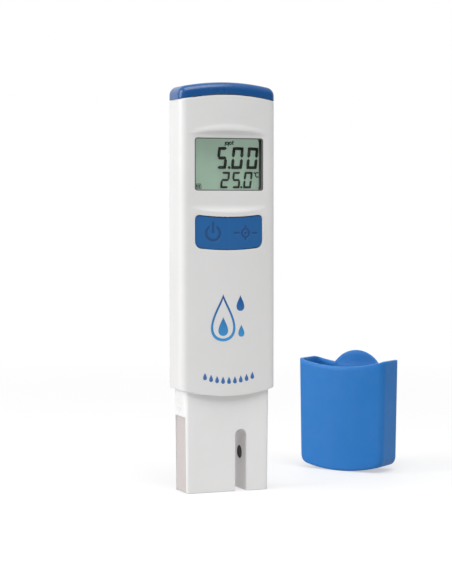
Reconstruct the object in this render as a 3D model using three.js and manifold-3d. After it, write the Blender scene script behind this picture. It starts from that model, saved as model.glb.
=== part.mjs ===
// A pocket water tester with its protective cap standing beside it.
// Millimetres, +Z up. The front with the display faces -Y, and z = 0 is the foot of the probe.
import * as THREE from "three";
import { mergeVertices } from "three/addons/utils/BufferGeometryUtils.js";
import Module from "manifold-3d";

const wasm = await Module();
wasm.setup();

// Driving dimensions
const gap = 0.3; // clearance between pieces that meet
const body = { width: 40, depth: 17, height: 160, corner: 3.2, backCorner: 4.5, crownRadius: 178 };
const arches = { foot: 38, footRadius: 73, seam: 155.1, topRadius: 90, topCorner: 2.2 };
const wall = { front: 2.3, rimY: 5.6, rearY: 5.9 };
const cavity = { halfWidth: 18, bottom: 42.8, top: 150.5 };
const panel = { depth: 0.75, bottom: 112.6, top: 140.4, run: 3.3 };
const windowHole = { halfWidth: 14.2, bottom: 117.9, top: 138.4, corner: 1 };
const pad = { halfWidth: 13.85, bottom: 95.05, top: 108.3, topCorner: 1.6, bottomCorner: 2.7, sunk: 0.25 };
const board = { halfWidth: 15.6, bottom: 57, top: 143, front: 0.3, back: 1.3 };
const door = { z: 82, radius: 14, seat: 6.9, skirt: 11.5, lug: 13, bore: 12.3, well: 14.6, wellRoom: 13.4 };
const lugs = { first: 15, wide: 30, turn: 57, every: 120, front: 4.8, back: 5.6 };
const cell = { radius: 10, front: 2.1, height: 3.2 };
const probe = { footWidth: 34.8, footDepth: 12.6, topWidth: 35.4, topDepth: 13, corner: 1.6, shoulder: 38 };
const core = { halfWidth: 16.1, halfDepth: 5, top: 32 };
const slot = { left: 3, right: 7.7, top: 24.5 };
const neck = { halfWidth: 12.7, halfDepth: 3.7, top: 48, groove: 0.9 };
const sealGroove = { bottom: 39.4, top: 41.2 };
const clipGroove = { bottom: 43.6, top: 45.9 };
const electrode = { radius: 2.6, length: 4.5, y: 1, z: 14.6 };
const screw = { head: 2.05, shank: 1, bore: 1.3, post: 2.6, seat: 2.4 };
const screwHead = { seat: 6.8, front: 7.1, back: 8.2 }; // depths of the case screws' heads
const boardScrew = { head: 1.8, shank: 0.75, bore: 1.05, post: 2.2, headHeight: 1.1 };
const peg = { x: 10, radius: 1.5 }; // the end cap's pegs and their holes
const screwSpots = [[-12.9, 147], [12.9, 147], [-12.9, 52], [12.9, 52]];
const boardScrewSpots = [[-12.8, 61], [12.8, 61]];
const cap = { x: 71, y: 33.8, turn: -52.65, rim: 44.3, footRadius: 68, footCorner: 3, wall: 1.5, floor: 5.4 };
const capTab = { radius: 12.4, top: 50.3, thickness: 1 };

const frontY = -body.depth / 2;
const backY = body.depth / 2;
const innerY = frontY + wall.front;
const halfWidth = body.width / 2;
const capFitDrop = cap.rim - arches.foot + gap; // how far the cap's foot is below z = 0 when it is pushed on

// Finishes
const finish = (color, roughness, metalness = 0) =>
  new THREE.MeshStandardMaterial({ color, roughness, metalness });
const white = finish("#e9e9e8", 0.42);
const blue = finish("#1f5fa8", 0.38);
const padBlue = finish("#23619c", 0.6);
const capBlue = finish("#3d7dc4", 0.4);
const warmGrey = finish("#d4cbcb", 0.5);
const rubber = finish("#2a2c2e", 0.8);
const darkFoam = finish("#303331", 0.9);
const clear = finish("#dfe8e4", 0.06);
const glassGreen = finish("#9fb3a6", 0.2);
const silverFilm = finish("#b9c4bd", 0.35, 0.3);
const boardGreen = finish("#1e5a3a", 0.5);
const chipBlack = finish("#1c1d1f", 0.55);
const graphite = finish("#2b2b2a", 0.55, 0.1);
const steel = finish("#c3c6c8", 0.3, 1);
const gold = finish("#c9a557", 0.3, 1);
const ceramic = finish("#c8a777", 0.6);
const wireRed = finish("#a8322b", 0.5);
const wireBlack = finish("#26272a", 0.5);

// Solids
function toSolid(geometry) {
  const bare = geometry.clone();
  bare.deleteAttribute("normal");
  bare.deleteAttribute("uv");
  const merged = mergeVertices(bare, 1e-4);
  return new wasm.Manifold(
    new wasm.Mesh({
      numProp: 3,
      vertProperties: merged.attributes.position.array,
      triVerts: new Uint32Array(merged.index.array),
    }),
  );
}

function toMesh(name, solid, material) {
  const made = solid.getMesh();
  const geometry = new THREE.BufferGeometry();
  geometry.setAttribute("position", new THREE.BufferAttribute(new Float32Array(made.vertProperties), 3));
  geometry.setIndex(new THREE.BufferAttribute(new Uint32Array(made.triVerts), 1));
  geometry.computeVertexNormals();
  const mesh = new THREE.Mesh(geometry, material);
  mesh.name = name;
  return mesh;
}

const axes = {
  up: [[1, 0, 0], [0, 1, 0], [0, 0, 1]], // drawn in X and Y, extruded along Z
  back: [[1, 0, 0], [0, 0, 1], [0, -1, 0]], // drawn in X and Z, extruded along -Y
  across: [[0, 1, 0], [0, 0, 1], [1, 0, 0]], // drawn in Y and Z, extruded along X
};

// A flat shape extruded between two places on the axis that it is not drawn in.
function extrude(shape, direction, from, to, segments = 3) {
  const geometry = new THREE.ExtrudeGeometry(shape, {
    depth: to - from,
    bevelEnabled: false,
    curveSegments: segments,
  });
  geometry.translate(0, 0, direction === "back" ? -to : from);
  const [x, y, z] = axes[direction].map((v) => new THREE.Vector3(...v));
  return toSolid(geometry.applyMatrix4(new THREE.Matrix4().makeBasis(x, y, z)));
}

function box(x0, x1, y0, y1, z0, z1) {
  const geometry = new THREE.BoxGeometry(x1 - x0, y1 - y0, z1 - z0);
  return toSolid(geometry.translate((x0 + x1) / 2, (y0 + y1) / 2, (z0 + z1) / 2));
}

// A round bar from one point to another.
function rod(radius, start, end, sides = 20) {
  const a = new THREE.Vector3(...start);
  const b = new THREE.Vector3(...end);
  const along = b.clone().sub(a);
  const geometry = new THREE.CylinderGeometry(radius, radius, along.length(), sides);
  geometry.applyQuaternion(
    new THREE.Quaternion().setFromUnitVectors(new THREE.Vector3(0, 1, 0), along.clone().normalize()),
  );
  return toSolid(geometry.translate(...a.add(b).divideScalar(2).toArray()));
}

// A disc or ring about a front-to-back axis at (x, z), between two depths.
function disc(radius, x, z, y0, y1, sides = 28, hole = 0) {
  const solid = rod(radius, [x, y0, z], [x, y1, z], sides);
  return hole > 0 ? solid.subtract(rod(hole, [x, y0 - 1, z], [x, y1 + 1, z], sides)) : solid;
}

// A sector of a ring about the door's axis, from one angle to another in degrees.
function sector(inner, outer, from, to, y0, y1) {
  const shape = new THREE.Shape();
  shape.absarc(0, door.z, outer, THREE.MathUtils.degToRad(from), THREE.MathUtils.degToRad(to), false);
  shape.absarc(0, door.z, inner, THREE.MathUtils.degToRad(to), THREE.MathUtils.degToRad(from), true);
  return extrude(shape, "back", y0, y1, 2);
}

function roundedRect(x0, x1, y0, y1, radius) {
  const shape = new THREE.Shape();
  const quarter = Math.PI / 2;
  shape.absarc(x1 - radius, y0 + radius, radius, -quarter, 0, false);
  shape.absarc(x1 - radius, y1 - radius, radius, 0, quarter, false);
  shape.absarc(x0 + radius, y1 - radius, radius, quarter, 2 * quarter, false);
  shape.absarc(x0 + radius, y0 + radius, radius, 2 * quarter, 3 * quarter, false);
  return shape;
}

function polygon(points) {
  return new THREE.Shape(points.map(([x, y]) => new THREE.Vector2(x, y)));
}

// The case seen from above: a crowned front, tight front corners and softer back corners.
// The inset moves the whole line inwards by a wall's thickness.
function bodyOutline(inset = 0) {
  const corner = body.corner - inset;
  const backCorner = body.backCorner - inset;
  const crownRadius = body.crownRadius - inset;
  const side = halfWidth - inset;
  const cornerX = side - corner;
  const backCornerX = side - backCorner;
  const tilt = Math.asin(cornerX / (crownRadius - corner));
  const crownY = frontY + body.crownRadius;
  const cornerY = crownY - Math.sqrt((crownRadius - corner) ** 2 - cornerX ** 2);
  const down = -Math.PI / 2;
  const shape = new THREE.Shape();
  shape.absarc(0, crownY, crownRadius, down - tilt, down + tilt, false);
  shape.absarc(cornerX, cornerY, corner, down + tilt, 0, false);
  shape.absarc(backCornerX, backY - body.backCorner, backCorner, 0, Math.PI / 2, false);
  shape.absarc(-backCornerX, backY - body.backCorner, backCorner, Math.PI / 2, Math.PI, false);
  shape.absarc(-cornerX, cornerY, corner, Math.PI, 1.5 * Math.PI - tilt, false);
  return shape;
}

// The case seen from the front between two arches: the lower one sags, the upper one rises.
function archedOutline(low, lowRadius, high, highRadius, reach = 21) {
  const shape = new THREE.Shape();
  const lowTurn = Math.asin(reach / lowRadius);
  const highTurn = Math.asin(reach / highRadius);
  shape.absarc(0, low + lowRadius, lowRadius, -Math.PI / 2 - lowTurn, -Math.PI / 2 + lowTurn, false);
  shape.absarc(0, high - highRadius, highRadius, Math.PI / 2 - highTurn, Math.PI / 2 + highTurn, false);
  return shape;
}

// Case
function caseBlock() {
  const plan = extrude(bodyOutline(), "up", 30, body.height + 5);
  const front = archedOutline(arches.foot, arches.footRadius, arches.seam - gap / 2, arches.topRadius);
  return plan.intersect(extrude(front, "back", frontY - 2, backY + 2, 5));
}

function panelCut() {
  const z0 = panel.bottom;
  const z1 = panel.top;
  const deep = frontY + panel.depth;
  const out = 1.5;
  const reach = (panel.run * (panel.depth + out)) / panel.depth;
  const profile = polygon([[deep, z0], [deep, z1], [frontY - out, z1 + reach], [frontY - out, z0 - reach]]);
  return extrude(profile, "across", -halfWidth, halfWidth);
}

// The outline of the key pad: its top edge dips in the middle and its bottom edge bulges.
function padOutline(grow) {
  const { halfWidth: w, bottom, top, topCorner, bottomCorner } = pad;
  const shape = new THREE.Shape();
  const dip = 0.75;
  const bulge = 0.6;
  const x = w + grow;
  const low = bottom - grow;
  const high = top + grow;
  shape.moveTo(-x + bottomCorner, low + bulge);
  shape.quadraticCurveTo(0, low - bulge, x - bottomCorner, low + bulge);
  shape.quadraticCurveTo(x, low + bulge, x, low + bulge + bottomCorner);
  shape.lineTo(x, high - topCorner);
  shape.quadraticCurveTo(x, high, x - topCorner, high);
  shape.quadraticCurveTo(0, high - 2 * dip, -x + topCorner, high);
  shape.quadraticCurveTo(-x, high, -x, high - topCorner);
  shape.lineTo(-x, low + bulge + bottomCorner);
  shape.quadraticCurveTo(-x, low + bulge, -x + bottomCorner, low + bulge);
  return shape;
}

function makeFrontHousing() {
  const { halfWidth: w, bottom, top } = cavity;
  const chamfer = 1.8;
  const room = polygon([
    [-w, backY], [-w, innerY + chamfer], [-w + chamfer, innerY],
    [w - chamfer, innerY], [w, innerY + chamfer], [w, backY],
  ]);
  const hole = windowHole;
  let solid = caseBlock()
    .subtract(box(-25, 25, wall.rimY, 20, 20, 180))
    .subtract(extrude(room, "up", bottom, top))
    .subtract(extrude(roundedRect(-w - 0.8, w + 0.8, bottom - 0.8, top + 0.8, 1), "back", 4.2, 7))
    .subtract(panelCut())
    .subtract(
      extrude(roundedRect(-hole.halfWidth, hole.halfWidth, hole.bottom, hole.top, hole.corner),
        "back", frontY - 1, innerY + 1),
    )
    .subtract(extrude(padOutline(gap), "back", frontY - 1, innerY + 1))
    .subtract(box(-neck.halfWidth - gap, neck.halfWidth + gap, -neck.halfDepth - gap,
      neck.halfDepth + gap, 30, bottom + 1));
  for (const [x, z] of screwSpots) {
    solid = solid
      .add(disc(screw.post, x, z, innerY - 0.3, wall.rimY, 12))
      .subtract(disc(screw.bore, x, z, -3, 8, 12));
  }
  for (const [x, z] of boardScrewSpots) {
    solid = solid
      .add(disc(boardScrew.post, x, z, innerY - 0.3, board.front - gap, 12))
      .subtract(disc(boardScrew.bore, x, z, -4, 2, 12));
  }
  for (const x of [-peg.x, peg.x]) {
    solid = solid.subtract(rod(peg.radius + gap, [x, 0, top - 1], [x, 0, body.height], 12));
  }
  return toMesh("front_housing", solid, white);
}

function makeRearCover() {
  let solid = caseBlock()
    .intersect(box(-25, 25, wall.rearY, 20, 20, 180))
    .add(disc(door.well, 0, door.z, 1.7, wall.rearY + 0.1, 32))
    .subtract(disc(door.wellRoom, 0, door.z, 1, wall.rearY, 32))
    .subtract(disc(door.bore, 0, door.z, 5, 9, 32))
    .subtract(disc(door.radius + gap, 0, door.z, door.seat, 9, 32));
  for (let entry = lugs.first + lugs.turn; entry < 360; entry += lugs.every) {
    solid = solid.subtract(sector(door.skirt + gap, door.lug + gap, entry, entry + lugs.wide + 6, 5, 7.5));
  }
  for (const [x, z] of screwSpots) {
    solid = solid
      .subtract(disc(screw.bore, x, z, 5, 9, 12))
      .subtract(disc(screw.seat, x, z, screwHead.seat, 9, 16));
  }
  const tabRest = capTab.top - capTab.radius - capFitDrop;
  solid = solid.subtract(disc(capTab.radius + 0.4, 0, tabRest, backY - capTab.thickness - gap, 10, 40));
  return toMesh("rear_cover", solid, white);
}

function makeTopCap() {
  const shape = new THREE.Shape();
  const { seam, topRadius, topCorner } = arches;
  const reach = halfWidth;
  const low = seam + gap / 2;
  const turn = Math.asin(reach / topRadius);
  const upperRadius = topRadius + body.height - low;
  const cornerX = reach - topCorner;
  const tilt = Math.asin(cornerX / (upperRadius - topCorner));
  const centre = body.height - upperRadius;
  const cornerZ = centre + Math.sqrt((upperRadius - topCorner) ** 2 - cornerX ** 2);
  shape.absarc(0, low - topRadius, topRadius, Math.PI / 2 + turn, Math.PI / 2 - turn, true);
  shape.absarc(cornerX, cornerZ, topCorner, 0, Math.PI / 2 - tilt, false);
  shape.absarc(0, centre, upperRadius, Math.PI / 2 - tilt, Math.PI / 2 + tilt, false);
  shape.absarc(-cornerX, cornerZ, topCorner, Math.PI / 2 + tilt, Math.PI, false);
  let solid = extrude(bodyOutline(), "up", 140, 170).intersect(extrude(shape, "back", -12, 12, 4));
  for (const x of [-peg.x, peg.x]) {
    solid = solid.add(rod(peg.radius, [x, 0, cavity.top + 0.5], [x, 0, seam + 2], 12));
  }
  return toMesh("top_cap", solid, blue);
}

function makeCaseGasket() {
  const { halfWidth: w, bottom, top } = cavity;
  const ring = (grow) => roundedRect(-w - grow, w + grow, bottom - grow, top + grow, 1);
  const solid = extrude(ring(0.5), "back", 4.5, 5.6, 2).subtract(extrude(ring(-0.6), "back", 4, 6, 2));
  return toMesh("case_gasket", solid, rubber);
}

function makeCaseScrew(index, [x, z]) {
  const { front, back } = screwHead;
  const cross = { reach: 1.4, half: 0.3, depth: 0.5 };
  const solid = disc(screw.head, x, z, front, back, 16)
    .add(disc(screw.shank, x, z, -2.5, front + 0.1, 10))
    .subtract(box(x - cross.half, x + cross.half, back - cross.depth, 9, z - cross.reach, z + cross.reach))
    .subtract(box(x - cross.reach, x + cross.reach, back - cross.depth, 9, z - cross.half, z + cross.half));
  return toMesh(`case_screw_${index}`, solid, steel);
}

// Display
const windowBack = innerY + gap + 0.9;
const gasketBack = windowBack + gap + 1.3;
const lcd = { halfWidth: 16.2, bottom: 113, top: 140.8 };

function makeDisplayWindow() {
  const { halfWidth: w, bottom, top } = windowHole;
  const faceY = frontY + panel.depth + 0.15;
  const lens = roundedRect(-w + gap, w - gap, bottom + gap, top - gap, 0.8);
  const flange = box(-w - 1.8, w + 1.8, innerY + gap, windowBack, bottom - 1.8, top + 1.8);
  return toMesh("display_window", extrude(lens, "back", faceY, innerY + gap + 0.1, 2).add(flange), clear);
}

function makeWindowGasket() {
  const { halfWidth: w, bottom, top } = windowHole;
  const y0 = windowBack + gap;
  const opening = roundedRect(-w + gap, w - gap, bottom + gap, top - gap, 0.8);
  const solid = box(-w - 1.8, w + 1.8, y0, gasketBack, bottom - 1.8, top + 1.8)
    .subtract(extrude(opening, "back", y0 - 1, gasketBack + 1, 2));
  return toMesh("window_gasket", solid, darkFoam);
}

// The glass stack of the display, from front to back, then the reflector behind it.
function makeGlassStack() {
  const { halfWidth: w, bottom, top } = lcd;
  const start = gasketBack + gap;
  const ledge = 3;
  const strip = box(-w + 1, w - 1, start + 0.9, board.front - gap, bottom + 0.4, bottom + 2.4);
  return [
    toMesh("lcd_front_glass", box(-w, w, start, start + 0.6, bottom, top), glassGreen),
    toMesh("lcd_rear_glass", box(-w, w, start + 0.9, start + 1.5, bottom + ledge, top), glassGreen),
    toMesh("lcd_reflector", box(-w, w, start + 1.8, start + 2.1, bottom + ledge, top), silverFilm),
    toMesh("zebra_strip", strip, darkFoam),
  ];
}

function makeLcdHolder() {
  const { halfWidth: w, bottom, top } = lcd;
  const solid = box(-w - 1.2, w + 1.2, windowBack + gap, board.front - gap, bottom - 1.4, top + 1.4)
    .subtract(box(-w - gap, w + gap, windowBack, board.front, bottom - gap, top + gap));
  return toMesh("lcd_holder", solid, white);
}

// Circuit board and what is soldered to it
function makeCircuitBoard() {
  const { halfWidth: w, bottom, top, front, back } = board;
  let solid = box(-w, w, front, back, bottom, top);
  for (const [x, z] of boardScrewSpots) {
    solid = solid.subtract(disc(boardScrew.bore, x, z, front - 1, back + 1, 12));
  }
  return toMesh("circuit_board", solid, boardGreen);
}

function makeBoardScrew(index, [x, z]) {
  const seat = board.back + gap;
  const { head, shank, headHeight } = boardScrew;
  const solid = disc(head, x, z, seat, seat + headHeight, 14)
    .add(disc(shank, x, z, -3.5, seat + 0.1, 10))
    .subtract(box(x - 0.25, x + 0.25, seat + 0.6, seat + 2, z - 1.2, z + 1.2));
  return toMesh(`board_screw_${index}`, solid, steel);
}

// A rectangular part standing on the back of the board: centre, size across and up, and height.
function boardPart(name, x, z, width, tall, height, material) {
  const y0 = board.back + gap;
  const solid = box(x - width / 2, x + width / 2, y0, y0 + height, z - tall / 2, z + tall / 2);
  return toMesh(name, solid, material);
}

function makeBoardParts() {
  const chip = (name, x, z, width, tall, height) => boardPart(name, x, z, width, tall, height, chipBlack);
  return [
    chip("processor_chip", -4, 124, 9, 9, 1.4),
    chip("amplifier_chip", 7.5, 120, 5, 4, 1.3),
    chip("memory_chip", 7.5, 129, 5, 4, 1.3),
    boardPart("crystal", -4, 134.5, 7, 2.6, 2.2, steel),
    boardPart("capacitor_1", -11.5, 127, 1.6, 3.2, 1.5, ceramic),
    boardPart("capacitor_2", -11.5, 121, 1.6, 3.2, 1.5, ceramic),
  ];
}

// Keys
const keyX = 6.9;
const keyZ = (pad.bottom + pad.top) / 2;
const switchFront = -1.9;

function makeKey(name, side) {
  const crown = extrude(bodyOutline(), "up", 90, 115).translate([0, pad.sunk, 0]);
  const x0 = side < 0 ? -20 : gap / 2;
  const x1 = side < 0 ? -gap / 2 : 20;
  const solid = extrude(padOutline(0), "back", frontY - 2, -5, 3)
    .intersect(crown)
    .intersect(box(x0, x1, -12, 0, 80, 120))
    .add(disc(1.6, side * keyX, keyZ, -5.1, switchFront - 1.4, 14));
  return toMesh(name, solid, padBlue);
}

function makeKeypadFlange() {
  const { halfWidth: w, bottom, top } = pad;
  const y0 = innerY + gap;
  const solid = box(-w - 2.2, w + 2.2, y0, y0 + 1, bottom - 2, top + 2)
    .subtract(extrude(padOutline(gap), "back", y0 - 1, y0 + 2, 3));
  return toMesh("keypad_flange", solid, padBlue);
}

function makeSwitch(name, side) {
  const x = side * keyX;
  const rear = board.front - gap;
  const solid = box(x - 2.75, x + 2.75, switchFront, rear, keyZ - 2.75, keyZ + 2.75)
    .subtract(disc(1.8, x, keyZ, switchFront - 1, rear - 0.6, 16));
  return toMesh(`${name}_switch`, solid, chipBlack);
}

function makePlunger(name, side) {
  const front = switchFront - 1.4 + gap;
  return toMesh(`${name}_plunger`, disc(1.5, side * keyX, keyZ, front, front + 1.9, 16), rubber);
}

// Battery
function makeBatteryCup() {
  const y0 = board.back + gap;
  const solid = disc(12.8, 0, door.z, y0, 4.5, 32, cell.radius + gap)
    .subtract(box(-2.8, 2.8, y0 - 1, 6, door.z + 8, door.z + 16));
  return toMesh("battery_cup", solid, white);
}

function makeContacts() {
  const y0 = board.back + gap / 2;
  const { z } = door;
  const sheet = 0.3;
  const rise = z + cell.radius + gap;
  const positive = box(-2.2, 2.2, y0, 4.3, rise, rise + sheet)
    .add(box(-2.2, 2.2, y0, y0 + sheet, rise, rise + 2.4));
  const negative = box(-6, 6, y0, y0 + sheet, z - 1.6, z + 1.6);
  return [toMesh("positive_contact", positive, gold), toMesh("negative_contact", negative, gold)];
}

function makeCoinCell() {
  const { radius, front, height } = cell;
  const profile = [[0, 0], [8.6, 0], [8.8, 0.5], [radius - 0.2, 0.6], [radius, 0.9], [radius, height - 0.2],
    [radius - 0.2, height], [0, height]];
  const turned = new THREE.LatheGeometry(profile.map(([x, y]) => new THREE.Vector2(x, y)), 32);
  return toMesh("coin_cell", toSolid(turned.translate(0, front, 0)).translate([0, 0, door.z]), steel);
}

function makeBatteryDoor() {
  const { z, radius, seat, skirt, lug } = door;
  let solid = disc(radius, 0, z, seat + gap, backY, 40)
    .add(disc(skirt, 0, z, lugs.front, seat + 0.5, 32, skirt - 0.9))
    .add(disc(4, 0, z, cell.front + cell.height + gap, seat + 0.5, 20))
    .subtract(disc(12.2, 0, z, 6.2, 6.8, 32, 11))
    .subtract(box(-6.5, 6.5, backY - 0.8, 10, z - 0.9, z + 0.9));
  for (let start = lugs.first; start < 360; start += lugs.every) {
    solid = solid.add(sector(skirt - 0.3, lug, start, start + lugs.wide, lugs.front, lugs.back));
  }
  return toMesh("battery_door", solid, white);
}

function makeDoorSeal() {
  return toMesh("battery_door_seal", disc(12.05, 0, door.z, 6.25, 6.75, 32, 11.1), rubber);
}

// Probe
// A rounded block whose width and depth grow from its foot to its shoulder.
function probeBlock(top) {
  const { footWidth, footDepth, topWidth, topDepth, corner, shoulder } = probe;
  const outline = roundedRect(-footWidth / 2, footWidth / 2, -footDepth / 2, footDepth / 2, corner);
  const geometry = new THREE.ExtrudeGeometry(outline, { depth: top, bevelEnabled: false, curveSegments: 2 });
  const at = geometry.attributes.position;
  for (let i = 0; i < at.count; i++) {
    const share = at.getZ(i) / shoulder;
    at.setX(i, at.getX(i) * (1 + share * (topWidth / footWidth - 1)));
    at.setY(i, at.getY(i) * (1 + share * (topDepth / footDepth - 1)));
  }
  return toSolid(geometry);
}

function slotShape() {
  const middle = (slot.left + slot.right) / 2;
  const radius = (slot.right - slot.left) / 2;
  const shape = new THREE.Shape();
  shape.moveTo(slot.left, -1);
  shape.lineTo(slot.right, -1);
  shape.absarc(middle, slot.top - radius, radius, 0, Math.PI, false);
  return shape;
}

const slotCut = () => extrude(slotShape(), "back", -10, 10, 3);

// Everything below an arch that follows the foot of the case.
function underTheCase() {
  const radius = arches.footRadius + gap;
  const turn = Math.asin(21 / radius);
  const shape = new THREE.Shape();
  shape.moveTo(-21, -5);
  shape.lineTo(21, -5);
  shape.absarc(0, arches.foot + arches.footRadius, radius, -Math.PI / 2 + turn, -Math.PI / 2 - turn, true);
  return extrude(shape, "back", -12, 12, 5);
}

function neckBlock(inset, bottom, top) {
  const w = neck.halfWidth - inset;
  const d = neck.halfDepth - inset;
  return box(-w, w, -d, d, bottom, top);
}

function makeProbeSleeve() {
  const room = { w: core.halfWidth + gap, d: core.halfDepth + gap, top: 36 };
  const sideWindow = { x: 17, top: 30 };
  const bump = { radius: 2, from: 16.8, to: 17.95, z: 33.4 };
  let solid = probeBlock(44)
    .intersect(underTheCase())
    .add(neckBlock(0, room.top, neck.top))
    .subtract(box(-room.w, room.w, -room.d, room.d, -1, room.top))
    .subtract(box(-8, 8, -2, 2, room.top - 1, neck.top + 1))
    .subtract(slotCut());
  for (const side of [-1, 1]) {
    solid = solid
      .subtract(box(side * sideWindow.x - 3, side * sideWindow.x + 3, -room.d, room.d, -1, sideWindow.top))
      .add(rod(bump.radius, [side * bump.from, 0, bump.z], [side * bump.to, 0, bump.z], 14));
  }
  for (const { bottom, top } of [sealGroove, clipGroove]) {
    const ring = neckBlock(-1, bottom, top).subtract(neckBlock(neck.groove, bottom - 1, top + 1));
    solid = solid.subtract(ring);
  }
  return toMesh("probe_sleeve", solid, white);
}

function makeProbeSeal() {
  const { bottom, top } = sealGroove;
  const solid = neckBlock(-0.15, bottom + 0.2, top - 0.2)
    .subtract(neckBlock(neck.groove - 0.25, bottom - 1, top + 1));
  return toMesh("probe_seal", solid, rubber);
}

// A fork pushed over the neck from behind, so that the probe can't drop out of the case.
function makeProbeClip() {
  const z0 = clipGroove.bottom + gap;
  const z1 = clipGroove.top - gap;
  const inner = neck.halfWidth - neck.groove + gap;
  const solid = box(-15.5, 15.5, -neck.halfDepth, 5.3, z0, z1)
    .subtract(box(-inner, inner, -10, neck.halfDepth + 0.4, z0 - 1, z1 + 1));
  return toMesh("probe_clip", solid, chipBlack);
}

const leadX = {
  left: slot.left - electrode.length - 0.7,
  right: slot.right + electrode.length + 0.7,
  sensor: 13.4,
};
const sensor = { radius: 1.5, z: 8, inner: 14.2, outer: 16.4, leadY: -1.2 };

function makeSensorCore() {
  const { halfWidth: w, halfDepth: d, top } = core;
  const { y, z, radius, length } = electrode;
  const bore = radius + gap;
  const channel = (x, atY, from) => box(x - 0.7, x + 0.7, atY - 0.7, atY + 0.7, from, top + 1);
  const solid = box(-w, w, -d, d, 0, top)
    .subtract(slotCut())
    .subtract(rod(bore, [slot.left - length - gap, y, z], [slot.left + 1, y, z], 20))
    .subtract(rod(bore, [slot.right - 1, y, z], [slot.right + length + gap, y, z], 20))
    .subtract(rod(sensor.radius + gap, [sensor.inner - gap, 0, sensor.z], [w + 1, 0, sensor.z], 16))
    .subtract(channel(leadX.left, y, z - 0.7))
    .subtract(channel(leadX.right, y, z - 0.7))
    .subtract(channel(leadX.sensor, sensor.leadY, sensor.z - 0.7));
  return toMesh("sensor_core", solid, warmGrey);
}

function makeElectrodes() {
  const { radius, length, y, z } = electrode;
  const left = rod(radius, [slot.left - length, y, z], [slot.left, y, z], 24);
  const right = rod(radius, [slot.right, y, z], [slot.right + length, y, z], 24);
  return [toMesh("electrode_left", left, graphite), toMesh("electrode_right", right, graphite)];
}

function makeTemperatureSensor() {
  const { radius, z, inner, outer } = sensor;
  return toMesh("temperature_sensor", rod(radius, [inner, 0, z], [outer, 0, z], 18), steel);
}

// An insulated wire of 0.8 mm through the given points.
function wire(name, points, material) {
  const section = new THREE.Shape();
  section.absarc(0, 0, 0.4, 0, 2 * Math.PI, false);
  const route = points.map((p) => new THREE.Vector3(...p));
  const path = new THREE.CatmullRomCurve3(route, false, "catmullrom", 0.25);
  const geometry = new THREE.ExtrudeGeometry(section, { steps: 22, extrudePath: path, curveSegments: 3 });
  return toMesh(name, toSolid(geometry), material);
}

function makeLeads() {
  const { y, z } = electrode;
  const solderY = board.back + 0.7;
  const rise = (x, landX) => [[x, 0.6, 37.5], [x, 0.6, 50], [landX, solderY, 55], [landX, solderY, 60]];
  return [
    wire("electrode_lead_left", [[leadX.left, y, z], [leadX.left, y, 31], ...rise(-2.2, -3)], wireBlack),
    wire("electrode_lead_right", [[leadX.right, y, z], [leadX.right, y, 31.5], [leadX.right - 1, y, 33],
      [8, 0.8, 34.4], ...rise(2.2, 2.2)], wireRed),
    wire("temperature_lead", [[leadX.sensor, sensor.leadY, sensor.z], [leadX.sensor, sensor.leadY, 31.5],
      [leadX.sensor - 1, -1.1, 33], [9, -0.6, 34.4], ...rise(6, 6.5)], wireBlack),
  ];
}

// Protective cap, drawn upright with its own front facing -Y
function capOutline() {
  const { rim, footRadius, footCorner } = cap;
  const down = -Math.PI / 2;
  const cornerX = halfWidth - footCorner;
  const tilt = Math.asin(cornerX / (footRadius - footCorner));
  const cornerZ = footRadius - Math.sqrt((footRadius - footCorner) ** 2 - cornerX ** 2);
  const turn = Math.asin(halfWidth / arches.footRadius);
  const shape = new THREE.Shape();
  shape.absarc(0, footRadius, footRadius, down - tilt, down + tilt, false);
  shape.absarc(cornerX, cornerZ, footCorner, down + tilt, 0, false);
  shape.absarc(0, rim + arches.footRadius, arches.footRadius, down + turn, down - turn, true);
  shape.absarc(-cornerX, cornerZ, footCorner, Math.PI, 1.5 * Math.PI - tilt, false);
  return shape;
}

function makeProtectiveCap() {
  const { radius, top, thickness } = capTab;
  const tab = disc(radius, 0, top - radius, backY - thickness, backY, 40)
    .intersect(box(-20, 20, 0, 20, 35, 60));
  const room = extrude(bodyOutline(cap.wall), "up", cap.floor, 60)
    .subtract(box(-20, 20, backY - cap.wall, 20, 0, 70));
  const solid = extrude(bodyOutline(), "up", -1, 60)
    .intersect(extrude(capOutline(), "back", -12, 12, 4))
    .add(tab)
    .subtract(room);
  return toMesh("protective_cap", solid, capBlue);
}

// Assembly
const tester = new THREE.Group();
tester.name = "water_tester";
tester.add(makeFrontHousing(), makeRearCover(), makeTopCap(), makeCaseGasket());
screwSpots.forEach((spot, i) => tester.add(makeCaseScrew(i + 1, spot)));
tester.add(makeDisplayWindow(), makeWindowGasket(), ...makeGlassStack(), makeLcdHolder());
tester.add(makeCircuitBoard(), ...makeBoardParts());
boardScrewSpots.forEach((spot, i) => tester.add(makeBoardScrew(i + 1, spot)));
tester.add(makeKeypadFlange());
for (const [name, side] of [["power", -1], ["calibrate", 1]]) {
  tester.add(makeKey(`${name}_key`, side), makeSwitch(name, side), makePlunger(name, side));
}
tester.add(makeBatteryCup(), ...makeContacts(), makeCoinCell(), makeBatteryDoor(), makeDoorSeal());
tester.add(makeProbeSleeve(), makeProbeSeal(), makeProbeClip(), makeSensorCore(), ...makeElectrodes());
tester.add(makeTemperatureSensor(), ...makeLeads());

const standingCap = new THREE.Group();
standingCap.position.set(cap.x, cap.y, 0);
standingCap.rotation.z = THREE.MathUtils.degToRad(cap.turn);
standingCap.add(makeProtectiveCap());
tester.add(standingCap);

export default tester;
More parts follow.
